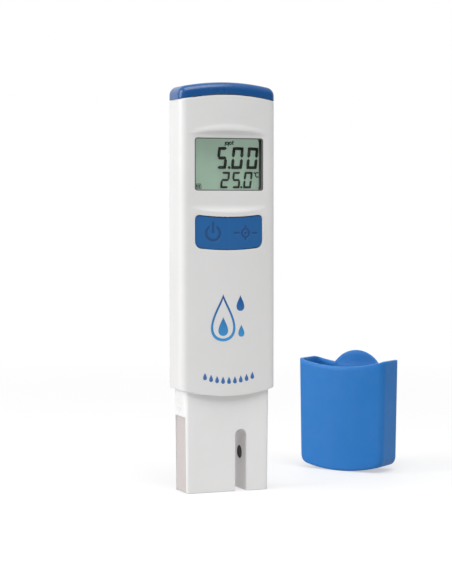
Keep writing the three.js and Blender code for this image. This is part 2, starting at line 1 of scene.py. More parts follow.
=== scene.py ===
import bmesh
import bpy
import math
import numpy as np
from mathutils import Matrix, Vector


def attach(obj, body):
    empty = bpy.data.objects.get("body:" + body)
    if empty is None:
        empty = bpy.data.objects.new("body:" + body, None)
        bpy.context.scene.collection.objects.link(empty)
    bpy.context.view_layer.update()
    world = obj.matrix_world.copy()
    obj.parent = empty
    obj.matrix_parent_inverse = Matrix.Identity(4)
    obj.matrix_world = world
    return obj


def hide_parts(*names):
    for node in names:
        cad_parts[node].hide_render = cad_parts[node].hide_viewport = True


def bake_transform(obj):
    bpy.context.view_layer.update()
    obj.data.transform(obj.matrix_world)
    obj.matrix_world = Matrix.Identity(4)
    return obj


# A pocket water tester: white case, blue end cap and rubber keys, probe with its slot, and the blue
# protective cap standing beside it. Lengths below are millimetres.
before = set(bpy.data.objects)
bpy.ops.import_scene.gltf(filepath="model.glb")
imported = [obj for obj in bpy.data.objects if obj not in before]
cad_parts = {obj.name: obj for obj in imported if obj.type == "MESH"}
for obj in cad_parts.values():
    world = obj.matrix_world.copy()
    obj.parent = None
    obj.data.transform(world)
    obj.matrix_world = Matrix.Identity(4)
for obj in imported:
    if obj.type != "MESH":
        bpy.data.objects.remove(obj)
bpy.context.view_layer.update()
mm = 0.001
camera = dict(place=(-250.88, -650.03, 110.11), pitch=2.623, yaw=21.245, lens=109.2, sensor=36, near=0.01)


def added(name, data):
    thing = bpy.data.objects.new(name, data)
    bpy.context.scene.collection.objects.link(thing)
    return thing


def addCamera(p):
    lens = bpy.data.cameras.new("camera")
    lens.lens, lens.sensor_width, lens.clip_start = p["lens"], p["sensor"], p["near"]
    eye = added("camera", lens)
    eye.location = [v * mm for v in p["place"]]
    eye.rotation_euler = (math.radians(90 - p["pitch"]), 0, math.radians(-p["yaw"]))
    bpy.context.scene.camera = eye


addCamera(camera)
print("camera placed")


# Corners of the quads of a grid: each cell joins row i to i + 1 and column j to j + 1,
# wrapping round where the grid closes on itself.
def gridQuads(rows, cols, wrapRows, wrapCols, start):
    i = np.arange(rows if wrapRows else rows - 1)[:, None]
    j = np.arange(cols if wrapCols else cols - 1)[None, :]
    down, along = (i + 1) % rows, (j + 1) % cols
    corners = [i * cols + j, i * cols + along, down * cols + along, down * cols + j]
    return start + np.stack(np.broadcast_arrays(*corners), -1).reshape(-1, 4)


# A mesh from several grids of points, welded where they meet. Each grid is (points, wrapRows, wrapCols).
def weave(name, grids, finish, weld=0.002, outward=True):
    points, faces, start = [], [], 0
    for grid, wrapRows, wrapCols in grids:
        rows, cols = grid.shape[:2]
        points.append(grid.reshape(-1, 3))
        faces.append(gridQuads(rows, cols, wrapRows, wrapCols, start))
        start += rows * cols
    mesh = bpy.data.meshes.new(name)
    mesh.from_pydata((np.concatenate(points) * mm).tolist(), [], np.concatenate(faces).tolist())
    work = bmesh.new()
    work.from_mesh(mesh)
    bmesh.ops.remove_doubles(work, verts=work.verts, dist=weld * mm)
    if outward:
        bmesh.ops.recalc_face_normals(work, faces=work.faces)
    work.to_mesh(mesh)
    work.free()
    mesh.materials.append(finishes[finish])
    return added(name, mesh)


def modify(piece, kind, **settings):
    step = piece.modifiers.new(kind.lower(), kind)
    for key, value in settings.items():
        setattr(step, key, value)


# Applies a piece's modifiers to its mesh.
def settle(piece):
    graph = bpy.context.evaluated_depsgraph_get()
    done = bpy.data.meshes.new_from_object(piece.evaluated_get(graph), depsgraph=graph)
    old = piece.data
    piece.modifiers.clear()
    piece.data = done
    bpy.data.meshes.remove(old)
    return piece


# Cuts away, or adds, other solids, which are then gone.
def carve(piece, *others, how="DIFFERENCE"):
    for other in others:
        modify(piece, "BOOLEAN", object=other, operation=how, solver="EXACT")
    settle(piece)
    for other in others:
        bpy.data.objects.remove(other)
    return piece


def soften(piece, width, segments, angle):
    modify(piece, "BEVEL", width=width * mm, segments=segments, limit_method="ANGLE",
           angle_limit=math.radians(angle), harden_normals=True)
    return settle(piece)


# Adds the meshes of other pieces to one piece.
def joined(piece, others):
    work = bmesh.new()
    for part in (piece, *others):
        work.from_mesh(part.data)
    mesh = bpy.data.meshes.new(piece.name)
    work.to_mesh(mesh)
    work.free()
    for finish in piece.data.materials:
        mesh.materials.append(finish)
    old, piece.data = piece.data, mesh
    bpy.data.meshes.remove(old)
    for part in others:
        bpy.data.objects.remove(part)
    return piece


# Smooth shading with breaks at folds sharper than the angle; faces can weigh by their area.
def shade(piece, angle, weigh=False):
    piece.data.shade_smooth()
    piece.data.set_sharp_from_angle(angle=math.radians(angle))
    if weigh:
        modify(piece, "WEIGHTED_NORMAL", keep_sharp=True)
        settle(piece)
    return piece


# Shades the piece, puts it on the body of that name, and hides the CAD nodes that it stands for. The slot, its
# finish's name, is not used.
def place(piece, body, slot, *nodes, angle=32, weigh=False):
    shade(piece, angle, weigh)
    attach(piece, body)
    if nodes:
        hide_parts(*nodes)


def arc(x, y, radius, start, end, steps):
    turn = np.radians(np.linspace(start, end, steps + 1))
    return np.stack([x + radius * np.cos(turn), y + radius * np.sin(turn)], -1)


def line(a, b, steps):
    t = np.linspace(0, 1, steps + 1)[:, None]
    return np.array(a, float) * (1 - t) + np.array(b, float) * t


# A quadratic curve from a to c that leans towards b.
def bend(a, b, c, steps):
    a, b, c = (np.array(v, float) for v in (a, b, c))
    t = np.linspace(0, 1, steps + 1)[:, None]
    return a * (1 - t) ** 2 + b * 2 * t * (1 - t) + c * t ** 2


def loop(*parts):
    return np.concatenate([part[:-1] for part in parts])


# A line of points spaced evenly along another, by its length.
def even(points, steps):
    run = np.concatenate([[0], np.cumsum(np.hypot(*np.diff(points, axis=0).T))])
    at = np.linspace(0, run[-1], steps + 1)
    return np.stack([np.interp(at, run, points[:, k]) for k in range(2)], -1)


# A rectangle's closed line with round corners.
def rounded(x0, x1, y0, y1, radius, steps=6):
    r = max(radius, 1e-4)
    return loop(arc(x1 - r, y0 + r, r, -90, 0, steps), line((x1, y0 + r), (x1, y1 - r), steps),
                arc(x1 - r, y1 - r, r, 0, 90, steps), line((x1 - r, y1), (x0 + r, y1), 3 * steps),
                arc(x0 + r, y1 - r, r, 90, 180, steps), line((x0, y1 - r), (x0, y0 + r), steps),
                arc(x0 + r, y0 + r, r, 180, 270, steps), line((x0 + r, y0), (x1 - r, y0), 3 * steps))


# The same by its half sizes about a middle, drawn in by inset, with corners that keep step.
def slab(halfX, halfY, corner, inset=0.0, steps=8, middle=(0, 0)):
    x, y = halfX - inset, halfY - inset
    return rounded(middle[0] - x, middle[0] + x, middle[1] - y, middle[1] + y, corner - inset, steps)


# Height of a rising or sagging arch of the given radius over x.
def arch(top, radius, rise=1):
    return lambda x: top - rise * (radius - np.sqrt(radius ** 2 - np.clip(x, -radius, radius) ** 2))


def smoothStep(value, low, high):
    t = np.clip((value - low) / (high - low), 0, 1)
    return t * t * (3 - 2 * t)


# A loop drawn in y and z, x and z, or x and y, set at one x, depth or height.
def atX(ring, x):
    return np.column_stack([np.full(len(ring), x), ring])


def atDepth(ring, y):
    return np.column_stack([ring[:, 0], np.full(len(ring), y), ring[:, 1]])


def atHeight(ring, z):
    return np.column_stack([ring, np.full(len(ring), z)])


# A loop in x and y, lifted to a height that varies over x.
def atHeightOf(ring, height):
    return np.column_stack([ring, height(ring[:, 0])])


# The case's plan has a crowned front and rounded corners, and runs between an arched foot and top.
body = dict(halfWidth=20, front=-8.5, back=8.5, corner=3.2, backCorner=4.5, crownRadius=178, seam=155.1,
            topRadius=90, foot=38, footRadius=73, top=160, seamGap=0.15)
cornerX = body["halfWidth"] - body["corner"]
backCornerX = body["halfWidth"] - body["backCorner"]
crownY = body["front"] + body["crownRadius"]
crownTilt = math.degrees(math.asin(cornerX / (body["crownRadius"] - body["corner"])))
cornerY = crownY - math.sqrt((body["crownRadius"] - body["corner"]) ** 2 - cornerX ** 2)
crownEnd = cornerX * body["crownRadius"] / (body["crownRadius"] - body["corner"])
backCornerY = body["back"] - body["backCorner"]
footArch = arch(body["foot"], body["footRadius"], -1)
seamArch = arch(body["seam"] - body["seamGap"], body["topRadius"])


def crown(x):
    return crownY - np.sqrt(body["crownRadius"] ** 2 - x ** 2)


# A crowned plan's closed line, moved inwards by inset, anticlockwise from the front's left end.
def planRing(inset, corner, backCorner):
    r, q, radius = corner - inset, backCorner - inset, body["crownRadius"]
    side, back = body["halfWidth"] - inset, body["back"] - inset
    x, backX, backY = body["halfWidth"] - corner, body["halfWidth"] - backCorner, body["back"] - backCorner
    tilt = math.degrees(math.asin(x / (radius - corner)))
    y = crownY - math.sqrt((radius - corner) ** 2 - x ** 2)
    return loop(arc(0, crownY, radius - inset, -90 - tilt, -90 + tilt, 64),
                arc(x, y, r, -90 + tilt, 0, 12), line((side, y), (side, backY), 8),
                arc(backX, backY, q, 0, 90, 12), line((backX, back), (-backX, back), 64),
                arc(-backX, backY, q, 90, 180, 12), line((-side, backY), (-side, y), 8),
                arc(-x, y, r, 180, 270 - tilt, 12))


def bodyRing(inset=0.0):
    return planRing(inset, body["corner"], body["backCorner"])


# A closed solid over a plan. Row by row: from the middle of its foot out to the edge, up through a
# fillet, up the wall, and in again over the top. low and high give the heights of both ends over x.
def archSolid(name, ring, low, high, finish, lowEdge=0.4, highEdge=0.4, wallRows=12, middle=(0, 0), taper=None):
    middle = np.array(middle, float)
    turns, out = np.radians(np.linspace(0, 90, 7)), np.linspace(0, 1, 11)[:-1]
    rows = [(t, lowEdge, 0.0, 0) for t in out]
    rows += [(1, lowEdge * (1 - math.sin(a)), lowEdge * (1 - math.cos(a)), 0) for a in turns]
    rows += [(1, 0, t, 2) for t in np.linspace(0, 1, wallRows + 1)[1:-1]]
    rows += [(1, highEdge * (1 - math.sin(a)), -highEdge * (1 - math.cos(a)), 1) for a in turns[::-1]]
    rows += [(t, highEdge, 0.0, 1) for t in out[::-1]]
    grid = []
    for share, inset, lift, end in rows:
        plan = middle + (ring(inset) - middle) * share
        bottom, top = low(plan[:, 0]) + lowEdge, high(plan[:, 0]) - highEdge
        z = [low(plan[:, 0]) + lift, high(plan[:, 0]) + lift, bottom + (top - bottom) * lift][end]
        grid.append(np.column_stack([plan, z]))
    grid = np.stack(grid)
    return weave(name, [(taper(grid) if taper else grid, False, True)], finish)


# A solid from stacked loops, each the same number of points, closed at both ends on the loops' middles.
def stacked(name, loops, finish):
    ends = [np.broadcast_to(ring.mean(0), ring.shape) for ring in (loops[0], loops[-1])]
    return weave(name, [(np.stack([ends[0], *loops, ends[1]]), False, True)], finish)


# A turned solid about a line through centre along axis "x", "y" or "z": each profile point is
# (distance along the line, radius), carried round in equal steps.
def turned(name, profile, centre, axis, finish, steps=64):
    along, radius = np.array(profile, float).T
    turn = np.linspace(0, 2 * math.pi, steps, endpoint=False)
    a = np.broadcast_to(along[:, None], (len(along), steps))
    b, c = radius[:, None] * np.cos(turn), radius[:, None] * np.sin(turn)
    order = {"x": (a, b, c), "y": (b, a, c), "z": (b, c, a)}[axis]
    return weave(name, [(np.stack(order, -1) + np.array(centre, float), False, True)], finish)


# A plain round bar from one place along its line to another.
def drum(name, start, end, radius, centre, axis, finish, steps=64):
    return turned(name, [(start, 0), (start, radius), (end, radius), (end, 0)], centre, axis, finish, steps)


# Rounds the corners of a turned profile: each gets a curve that starts and ends `radius` from it.
def easeProfile(profile, radius, steps=4):
    points = [np.array(p, float) for p in profile]
    out = [points[0][None]]
    for a, b, c in zip(points, points[1:], points[2:]):
        before, after = np.linalg.norm(a - b), np.linalg.norm(c - b)
        r = min(radius, before * 0.45, after * 0.45)
        out.append(bend(b + (a - b) / before * r, b, b + (c - b) / after * r, steps))
    return np.concatenate(out + [points[-1][None]])


# A closed pad between a front sheet and a back sheet of the same grid, joined round the rim.
def pillow(front, back):
    rim = [np.concatenate([s[0], s[1:, -1], s[-1, -2::-1], s[-2:0:-1, 0]]) for s in (front, back)]
    return [(front, False, False), (back[::-1], False, False), (np.stack(rim), False, True)]


# Sets a node's sockets, by name or as i0, i1 and so on: a socket is linked, anything else is a value.
def feed(tree, node, values):
    for key, value in values.items():
        socket = node.inputs[int(key[1:])] if key[0] == "i" and key[1:].isdigit() else node.inputs[key]
        if isinstance(value, bpy.types.NodeSocket):
            tree.links.new(value, socket)
        else:
            socket.default_value = value
    return node


def add(tree, kind, settings=None, **values):
    node = tree.nodes.new("ShaderNode" + kind)
    for key, value in (settings or {}).items():
        setattr(node, key, value)
    return feed(tree, node, values)


def calc(tree, operation, a, b=0.5, c=0.5, clamp=False):
    return add(tree, "Math", {"operation": operation, "use_clamp": clamp}, i0=a, i1=b, i2=c).outputs[0]


def vector(tree, operation, a, b):
    return add(tree, "VectorMath", {"operation": operation}, i0=a, i1=b).outputs


def noise(tree, place, scale, detail=2.0, roughness=0.5):
    return add(tree, "TexNoise", None, Vector=place, Scale=scale, Detail=detail, Roughness=roughness).outputs[0]


def span(tree, value, low, high, outLow=0.0, outHigh=1.0):
    return add(tree, "MapRange", None, i0=value, i1=low, i2=high, i3=outLow, i4=outHigh).outputs[0]


def blended(tree, share, a, b):
    return add(tree, "Mix", {"data_type": "RGBA"}, i0=share, i6=a, i7=b).outputs[2]


def bumped(tree, height, depth):
    return add(tree, "Bump", None, Height=height, Distance=depth, Strength=1.0).outputs[0]


# A node group that a build function fills. Each input has its start value, which also tells its kind.
def effect(name, inputs, outputs, build):
    group = bpy.data.node_groups.new(name, "ShaderNodeTree")
    for label, start in inputs.items():
        kind = "Float" if isinstance(start, float) else "Color" if start and len(start) == 4 else "Vector"
        socket = group.interface.new_socket(label, in_out="INPUT", socket_type="NodeSocket" + kind)
        if start is not None:
            socket.default_value = start
    for label in outputs:
        kind = "Color" if label == "Color" else "Float"
        group.interface.new_socket(label, in_out="OUTPUT", socket_type="NodeSocket" + kind)
    into, out = group.nodes.new("NodeGroupInput").outputs, group.nodes.new("NodeGroupOutput")
    feed(group, out, dict(zip(outputs, build(group, into, into["Vector"]))))
    return group


# Moulded skin: a fine spark-eroded texture over a slow waviness, as one height.
def makeGrain(tree, into, where):
    fine = noise(tree, where, into["Scale"], 3)
    wave = noise(tree, where, calc(tree, "MULTIPLY", into["Scale"], 0.04), 1)
    return [calc(tree, "MULTIPLY_ADD", fine, into["Fine"], calc(tree, "MULTIPLY", wave, into["Wave"]))]


# Slow colour drift of a moulding, with sparse dark specks in the resin.
def makeDrift(tree, into, where):
    slow = span(tree, noise(tree, where, 45.0, 3), 0.3, 0.7, -1, 1)
    gain = calc(tree, "MULTIPLY_ADD", slow, into["Amount"], 1.0)
    speck = span(tree, noise(tree, where, 1700.0, 2), 0.68, 0.74)
    gain = calc(tree, "SUBTRACT", gain, calc(tree, "MULTIPLY", speck, into["Specks"]))
    return [add(tree, "VectorMath", {"operation": "SCALE"}, i0=into["Color"], Scale=gain).outputs[0]]


# Marks of handling: broad greasy patches that polish the skin and thin cross-wise scuffs that dull it.
def makeHandling(tree, into, where):
    patch = span(tree, noise(tree, where, 70.0, 4, 0.6), 0.35, 0.65, -1, 1)
    stretched = vector(tree, "MULTIPLY", where, (1.0, 1.0, 9.0))[0]
    scuff = span(tree, noise(tree, stretched, 420.0, 3, 0.7), 0.66, 0.8)
    rough = calc(tree, "MULTIPLY_ADD", patch, into["Patches"], into["Roughness"])
    return [calc(tree, "MULTIPLY_ADD", scuff, into["Scuffs"], rough)]


# Rubbed edges: where the surface turns within the radius, its bevelled normal leaves its own one.
def makeEdgeRub(tree, into, where):
    wide = add(tree, "Bevel", {"samples": 4}, Radius=into["Radius"]).outputs[0]
    near = vector(tree, "DOT_PRODUCT", wide, add(tree, "NewGeometry").outputs["Normal"])["Value"]
    broken = span(tree, noise(tree, where, 260.0, 3), 0.35, 0.6, 0.35, 1)
    mask = calc(tree, "MULTIPLY", span(tree, near, 0.985, 0.86), broken)
    mask = calc(tree, "MULTIPLY", mask, into["Amount"], clamp=True)
    return [blended(tree, mask, into["Color"], into["Rubbed"])]


# Dust: a broken film that lies thicker on faces that look up.
def makeDust(tree, into, where):
    facing = add(tree, "SeparateXYZ", None, i0=add(tree, "NewGeometry").outputs["Normal"]).outputs[2]
    cloud = span(tree, noise(tree, where, 160.0, 5, 0.65), 0.4, 0.75)
    mask = calc(tree, "MULTIPLY", span(tree, facing, 0.2, 1.0, 0.25, 1.0), cloud)
    mask = calc(tree, "MULTIPLY", mask, into["Amount"], clamp=True)
    return [blended(tree, mask, into["Color"], into["Dust"]), mask]


# Brushed or rolled metal: a noise drawn out along one direction, as a height.
def makeBrushed(tree, into, where):
    return [noise(tree, vector(tree, "MULTIPLY", where, into["Stretch"])[0], into["Scale"], 3, 0.6)]


white = (1, 1, 1, 1)
effects = dict(
    grain=effect("mouldGrain", dict(Vector=None, Scale=3000.0, Fine=0.6, Wave=0.4), ["Height"], makeGrain),
    drift=effect("resinDrift", dict(Vector=None, Color=white, Amount=0.05, Specks=0.05), ["Color"], makeDrift),
    handling=effect("handling", dict(Vector=None, Roughness=0.4, Patches=0.06, Scuffs=0.1), ["Roughness"],
                    makeHandling),
    rub=effect("edgeRub", dict(Vector=None, Color=white, Rubbed=white, Radius=0.0004, Amount=0.3), ["Color"],
               makeEdgeRub),
    dust=effect("dust", dict(Vector=None, Color=white, Dust=(0.62, 0.6, 0.56, 1), Amount=0.06),
                ["Color", "Mask"], makeDust),
    brushed=effect("brushed", dict(Vector=None, Stretch=(1.0, 1.0, 20.0), Scale=900.0), ["Height"], makeBrushed))
print("effects made:", ", ".join(effects))


def use(tree, name, where, **values):
    return feed(tree, add(tree, "Group", {"node_tree": effects[name]}), dict(Vector=where, **values)).outputs


def newFinish(name):
    finish = bpy.data.materials.new(name)
    finish.use_nodes = True
    tree = finish.node_tree
    return finish, tree, tree.nodes["Principled BSDF"], tree.nodes.new("ShaderNodeTexCoord").outputs["Object"]


# Moulded plastic or rubber: drifting colour, rubbed edges, dust, handling marks and a spark-eroded skin.
def moulded(name, color, rough=0.4, grain=3000.0, depth=0.00001, drift=0.03, specks=0.04, rubbed=None, rub=0.25,
            dust=0.05, scuffs=0.08, patches=0.05, coat=0.0, sheen=0.0, shine=0.5, subsurface=0.0, glow=0.0,
            paint=None):
    finish, tree, shader, where = newFinish(name)
    tone = paint(tree, where, (*color, 1)) if paint else (*color, 1)
    edge = rubbed or [min(1, v * 1.25 + 0.03) for v in color]
    tone = use(tree, "drift", where, Color=tone, Amount=drift, Specks=specks)["Color"]
    tone = use(tree, "rub", where, Color=tone, Rubbed=(*edge, 1), Amount=rub)["Color"]
    dusty = use(tree, "dust", where, Color=tone, Amount=dust)
    marks = use(tree, "handling", where, Roughness=rough, Patches=patches, Scuffs=scuffs)["Roughness"]
    looks = {"Base Color": dusty["Color"],
             "Roughness": calc(tree, "MULTIPLY_ADD", dusty["Mask"], 0.4, marks, clamp=True),
             "Normal": bumped(tree, use(tree, "grain", where, Scale=grain)["Height"], depth),
             "Specular IOR Level": shine, "Coat Weight": coat, "Coat Roughness": 0.15,
             "Sheen Weight": sheen, "Sheen Roughness": 0.5}
    # A glow is painted light: the colour shines of itself, though the surface is no lamp.
    if glow:
        looks.update({"Emission Color": (*color, 1), "Emission Strength": glow})
    if subsurface:
        looks.update({"Subsurface Weight": subsurface, "Subsurface Radius": (1.0, 0.9, 0.8),
                      "Subsurface Scale": 0.0012})
    feed(tree, shader, looks)
    return finish


def metal(name, color, rough=0.25, stretch=(1.0, 1.0, 20.0), scale=900.0, depth=0.000006,
          tarnish=(0.25, 0.2, 0.15), stain=0.12):
    finish, tree, shader, where = newFinish(name)
    cloud = span(tree, noise(tree, where, 300.0, 4, 0.6), 0.45, 0.8, 0.0, stain)
    lines = use(tree, "brushed", where, Stretch=stretch, Scale=scale)["Height"]
    marks = use(tree, "handling", where, Roughness=rough, Patches=0.07, Scuffs=0.15)["Roughness"]
    feed(tree, shader, {"Base Color": blended(tree, cloud, (*color, 1), (*tarnish, 1)), "Metallic": 1.0,
                        "Roughness": calc(tree, "MULTIPLY_ADD", lines, 0.12, marks),
                        "Normal": bumped(tree, lines, depth)})
    return finish


# Makes a finish show one shader where the share is 0 and another where it is 1.
def mixShaders(tree, share, first, second):
    both = add(tree, "MixShader", None, i0=share, i1=first.outputs[0], i2=second.outputs[0])
    feed(tree, tree.nodes["Material Output"], dict(Surface=both.outputs[0]))


# Clear plastic or glass that lets lamps through to what is behind it.
def clearFinish(name, color, rough=0.03, ior=1.49, haze=0.02):
    finish, tree, shader, where = newFinish(name)
    wipe = span(tree, noise(tree, where, 240.0, 4, 0.65), 0.45, 0.75, rough, rough + haze)
    feed(tree, shader, {"Base Color": (*color, 1), "Transmission Weight": 1.0, "IOR": ior, "Roughness": wipe})
    through = add(tree, "BsdfTransparent", None, Color=(*color, 1))
    mixShaders(tree, add(tree, "LightPath").outputs["Is Shadow Ray"], shader, through)
    return finish


# A screen colour, 0 to 255, as the linear light a shader takes.
def shown(r, g, b):
    v = np.array([r, g, b]) / 255
    return tuple(float(c) for c in np.where(v <= 0.04045, v / 12.92, ((v + 0.055) / 1.055) ** 2.4))


# The keys' legends are moulded in a deeper blue: the piece's own "legend" attribute says where.
def legendPaint(tree, where, tone):
    mark = add(tree, "Attribute", {"attribute_name": "legend"}).outputs["Fac"]
    return blended(tree, calc(tree, "MULTIPLY", mark, 0.75), tone, (*shown(14, 66, 118), 1))


# Printed emblem: deep blue above, running to light blue below.
def emblemPaint(tree, where, tone):
    height = add(tree, "SeparateXYZ", None, i0=where).outputs[2]
    return blended(tree, span(tree, height, 0.0765, 0.058), tone, (*shown(64, 160, 222), 1))


# Pressed graphite: near black, with fine drawn streaks and a dull shine.
def makeGraphite(name):
    finish, tree, shader, where = newFinish(name)
    streaks = use(tree, "brushed", where, Stretch=(1.0, 1.0, 0.12), Scale=2600.0)["Height"]
    tone = blended(tree, span(tree, streaks, 0.4, 0.68), (0.002, 0.002, 0.002, 1), (0.01, 0.01, 0.0105, 1))
    feed(tree, shader, {"Base Color": tone, "Roughness": span(tree, streaks, 0.3, 0.7, 0.55, 0.35),
                        "Specular IOR Level": 0.15, "Normal": bumped(tree, streaks, 0.00002)})
    return finish


# The film behind the display: sage green with a fine sparkle and a little unevenness. Its colour also glows:
# painted light that evens out the shade in the window's deep recess.
def makeSage(name):
    finish, tree, shader, where = newFinish(name)
    sparkle, slow = noise(tree, where, 5200.0), noise(tree, where, 90.0)
    tone = blended(tree, span(tree, slow, 0.35, 0.65), (0.15, 0.197, 0.163, 1), (0.165, 0.215, 0.178, 1))
    tone = blended(tree, span(tree, sparkle, 0.55, 0.72, 0, 0.2), tone, (0.21, 0.26, 0.23, 1))
    # The emission is painted light: the film shines of itself, though it is no lamp.
    feed(tree, shader, {"Base Color": tone, "Emission Color": tone, "Emission Strength": 1.5,
                        "Roughness": span(tree, sparkle, 0.3, 0.7, 0.42, 0.6),
                        "Normal": bumped(tree, sparkle, 0.000004)})
    return finish


# Solder-masked board: green lacquer over copper lines on a fine lattice, with bright pads here and there.
def makeBoardFinish(name):
    finish, tree, shader, where = newFinish(name)
    cell = add(tree, "TexVoronoi", {"feature": "DISTANCE_TO_EDGE", "distance": "CHEBYCHEV"}, Vector=where,
               Scale=320.0, Randomness=0.7)
    dots = add(tree, "TexVoronoi", None, Vector=where, Scale=420.0, Randomness=0.25)
    lines = span(tree, cell.outputs["Distance"], 0.1, 0.04)
    pads = calc(tree, "MULTIPLY", span(tree, dots.outputs["Distance"], 0.2, 0.16), 0.8)
    tone = blended(tree, lines, (0.012, 0.09, 0.04, 1), (0.03, 0.2, 0.09, 1))
    feed(tree, shader, {"Base Color": blended(tree, pads, tone, (0.7, 0.66, 0.5, 1)),
                        "Roughness": span(tree, noise(tree, where, 900.0, 3), 0.3, 0.7, 0.28, 0.42),
                        "Normal": bumped(tree, lines, 0.00003)})
    return finish


# Each finish is its maker, then the maker's values in order, then named ones.
softRim = (0.9, 0.9, 0.89)
recipes = dict(
    whiteCase=(moulded, [(0.80, 0.795, 0.79), 0.36, 3200, 0.000007, 0.015, 0.03, softRim, 0.5],
               dict(coat=0.12, subsurface=0.15)),
    whiteProbe=(moulded, [(0.87, 0.867, 0.862), 0.42, 2600, 0.000009, 0.018, 0.03, softRim, 0.5, 0.06],
                dict(subsurface=0.15)),
    whiteInner=(moulded, [(0.7, 0.69, 0.67), 0.5, 2200, 0.00001, 0.03, 0.05], {}),
    warmCore=(moulded, [shown(201, 193, 192), 0.5, 1800, 0.000012, 0.02], dict(rub=0.1)),
    blueTop=(moulded, [shown(8, 80, 144), 0.26, 2800, 0.000005, 0.03, 0.05, shown(96, 146, 206), 0.3, 0.03],
             dict(coat=0.3, shine=0.4)),
    blueKeys=(moulded, [shown(14, 95, 160), 0.55, 2600, 0.000012, 0.03, 0.05, shown(60, 124, 186), 0.25, 0.02],
              dict(sheen=0.04, paint=legendPaint)),
    blueCap=(moulded, [shown(38, 118, 192), 0.42, 3000, 0.000008, 0.025, 0.05, shown(120, 172, 226), 0.45],
             dict(shine=0.28, subsurface=0.1)),
    blueFlange=(moulded, [shown(33, 92, 152), 0.6, 2200], {}),
    emblemInk=(moulded, [shown(10, 78, 152), 0.4, 5200, 0.000003, 0.03, 0.1], dict(rub=0.0, paint=emblemPaint)),
    legendInk=(moulded, [shown(58, 112, 176), 0.4, 5200, 0.000003, 0.03, 0.1], dict(rub=0.0)),
    segmentInk=(moulded, [(0.012, 0.016, 0.014), 0.45, 4000, 0.000002, 0.02, 0.02], dict(rub=0.0, dust=0.0)),
    # The slot's lining glows a little: painted light, standing in for light through the white plastic.
    slotGrey=(moulded, [shown(222, 219, 219), 0.5, 1800, 0.000012, 0.02], dict(rub=0.1, glow=0.065)),
    liningGrey=(moulded, [shown(104, 108, 104), 0.85, 1900, 0.00003, 0.1, 0.2], dict(rub=0.1)),
    blackRubber=(moulded, [(0.022, 0.023, 0.025), 0.7, 1500, 0.00002, 0.1, 0.1], dict(sheen=0.1)),
    blackFoam=(moulded, [(0.03, 0.032, 0.032), 0.92, 1900, 0.00006, 0.2, 0.4], dict(rub=0.1, sheen=0.2)),
    chipBlack=(moulded, [(0.02, 0.02, 0.022), 0.5, 2600, 0.00001, 0.08, 0.1], {}),
    tanCeramic=(moulded, [(0.5, 0.36, 0.2), 0.45, 2600, 0.000008, 0.08, 0.1], {}),
    redWire=(moulded, [(0.42, 0.035, 0.025), 0.4, 1800, 0.00001, 0.04, 0.05], {}),
    blackWire=(moulded, [(0.02, 0.02, 0.022), 0.4, 1800, 0.00001, 0.04, 0.05], {}),
    screwSteel=(metal, [(0.62, 0.63, 0.64), 0.26, (1.0, 12.0, 1.0)], {}),
    cellSteel=(metal, [(0.66, 0.67, 0.68), 0.2, (1.0, 1.0, 1.0), 500.0], {}),
    springGold=(metal, [(0.78, 0.55, 0.22), 0.24, (12.0, 1.0, 1.0)], dict(tarnish=(0.3, 0.16, 0.06))),
    clearWindow=(clearFinish, [(0.97, 0.985, 0.975), 0.015, 1.34], {}),
    lcdGlass=(clearFinish, [(0.965, 0.985, 0.97), 0.01, 1.1, 0.01], {}),
    graphiteDisc=(makeGraphite, [], {}), sageFilm=(makeSage, [], {}), boardGreen=(makeBoardFinish, [], {}))
finishes = {name: maker(name, *values, **named) for name, (maker, values, named) in recipes.items()}
print(len(finishes), "finishes made")


# The front shell is a crowned skin with two openings. Its grid changes at the zones' heights.
caseFront = dict(frontHalf=15.6, lowZone=90.0, middleZone=113.2, topZone=146.5, columns=62, rings=16,
                 rows=dict(low=70, pad=46, window=66, top=18), skin=1.8, edge=0.28, footEdge=0.55, sharp=50,
                 rimY=5.6, panelDepth=0.75, panelLow=112.7, panelRun=3.0, panelHigh=138.9, softness=0.07,
                 brow=dict(proud=0.36, crest=141.1, top=143.7, half=15.0, start=122.7),
                 window=dict(middle=0.2, halfWidth=14.3, bottom=117.9, top=138.4, corner=1.0))
bulkhead = dict(wall=(-18.7, 18.7, -7.2, 5.4, 3), neck=(13.0, 4.0, 0.5), vent=(0.8, 0.8, 0.4), low=42.8,
                high=150.5, gap=0.12)
keyPad = dict(halfWidth=13.85, bottom=95.05, top=108.3, topCorner=2.0, bottomCorner=3.3, dip=0.75, bulge=0.6,
              sunk=0.25, edge=0.45, back=-5.0, gap=0.25, grow=0.05, rows=124, columns=124, recess=0.14,
              soft=0.14, blur=0.12, post=1.6, postX=6.9, postZ=101.675, postEnd=-3.3, web=3.2)


# Depth of the sunk panel over z: flat between its lines, then scooped out past the crown at each end.
def panelDepth(z):
    p, crest = caseFront, caseFront["brow"]["crest"]
    below = np.maximum(0, p["panelLow"] - z) / p["panelRun"]
    above = np.maximum(0, z - p["panelHigh"]) / (crest - p["panelHigh"])
    rise = p["panelDepth"] * below ** 2 + (p["panelDepth"] + p["brow"]["proud"]) * above ** 2
    return body["front"] + p["panelDepth"] - rise


# How far the brow over the panel stands proud: most at its crest, and nothing at its arched top line.
def browHeight(x, z):
    b = caseFront["brow"]
    middle = np.maximum(0, 1 - (x / b["half"]) ** 2)
    climb = np.clip((z - b["crest"]) / np.maximum((b["top"] - b["crest"]) * middle, 1e-3), 0, 1)
    return b["proud"] * middle * (1 - climb ** 2) * (z > b["start"])


# Pushes points back to the panel where the crown stands in front of it, with a soft fold between.
def sink(points):
    y, cut = points[..., 1] - browHeight(points[..., 0], points[..., 2]), panelDepth(points[..., 2])
    out = points.copy()
    out[..., 1] = 0.5 * (y + cut + np.sqrt((y - cut) ** 2 + caseFront["softness"] ** 2))
    return out


noLine = np.zeros((0, 2))


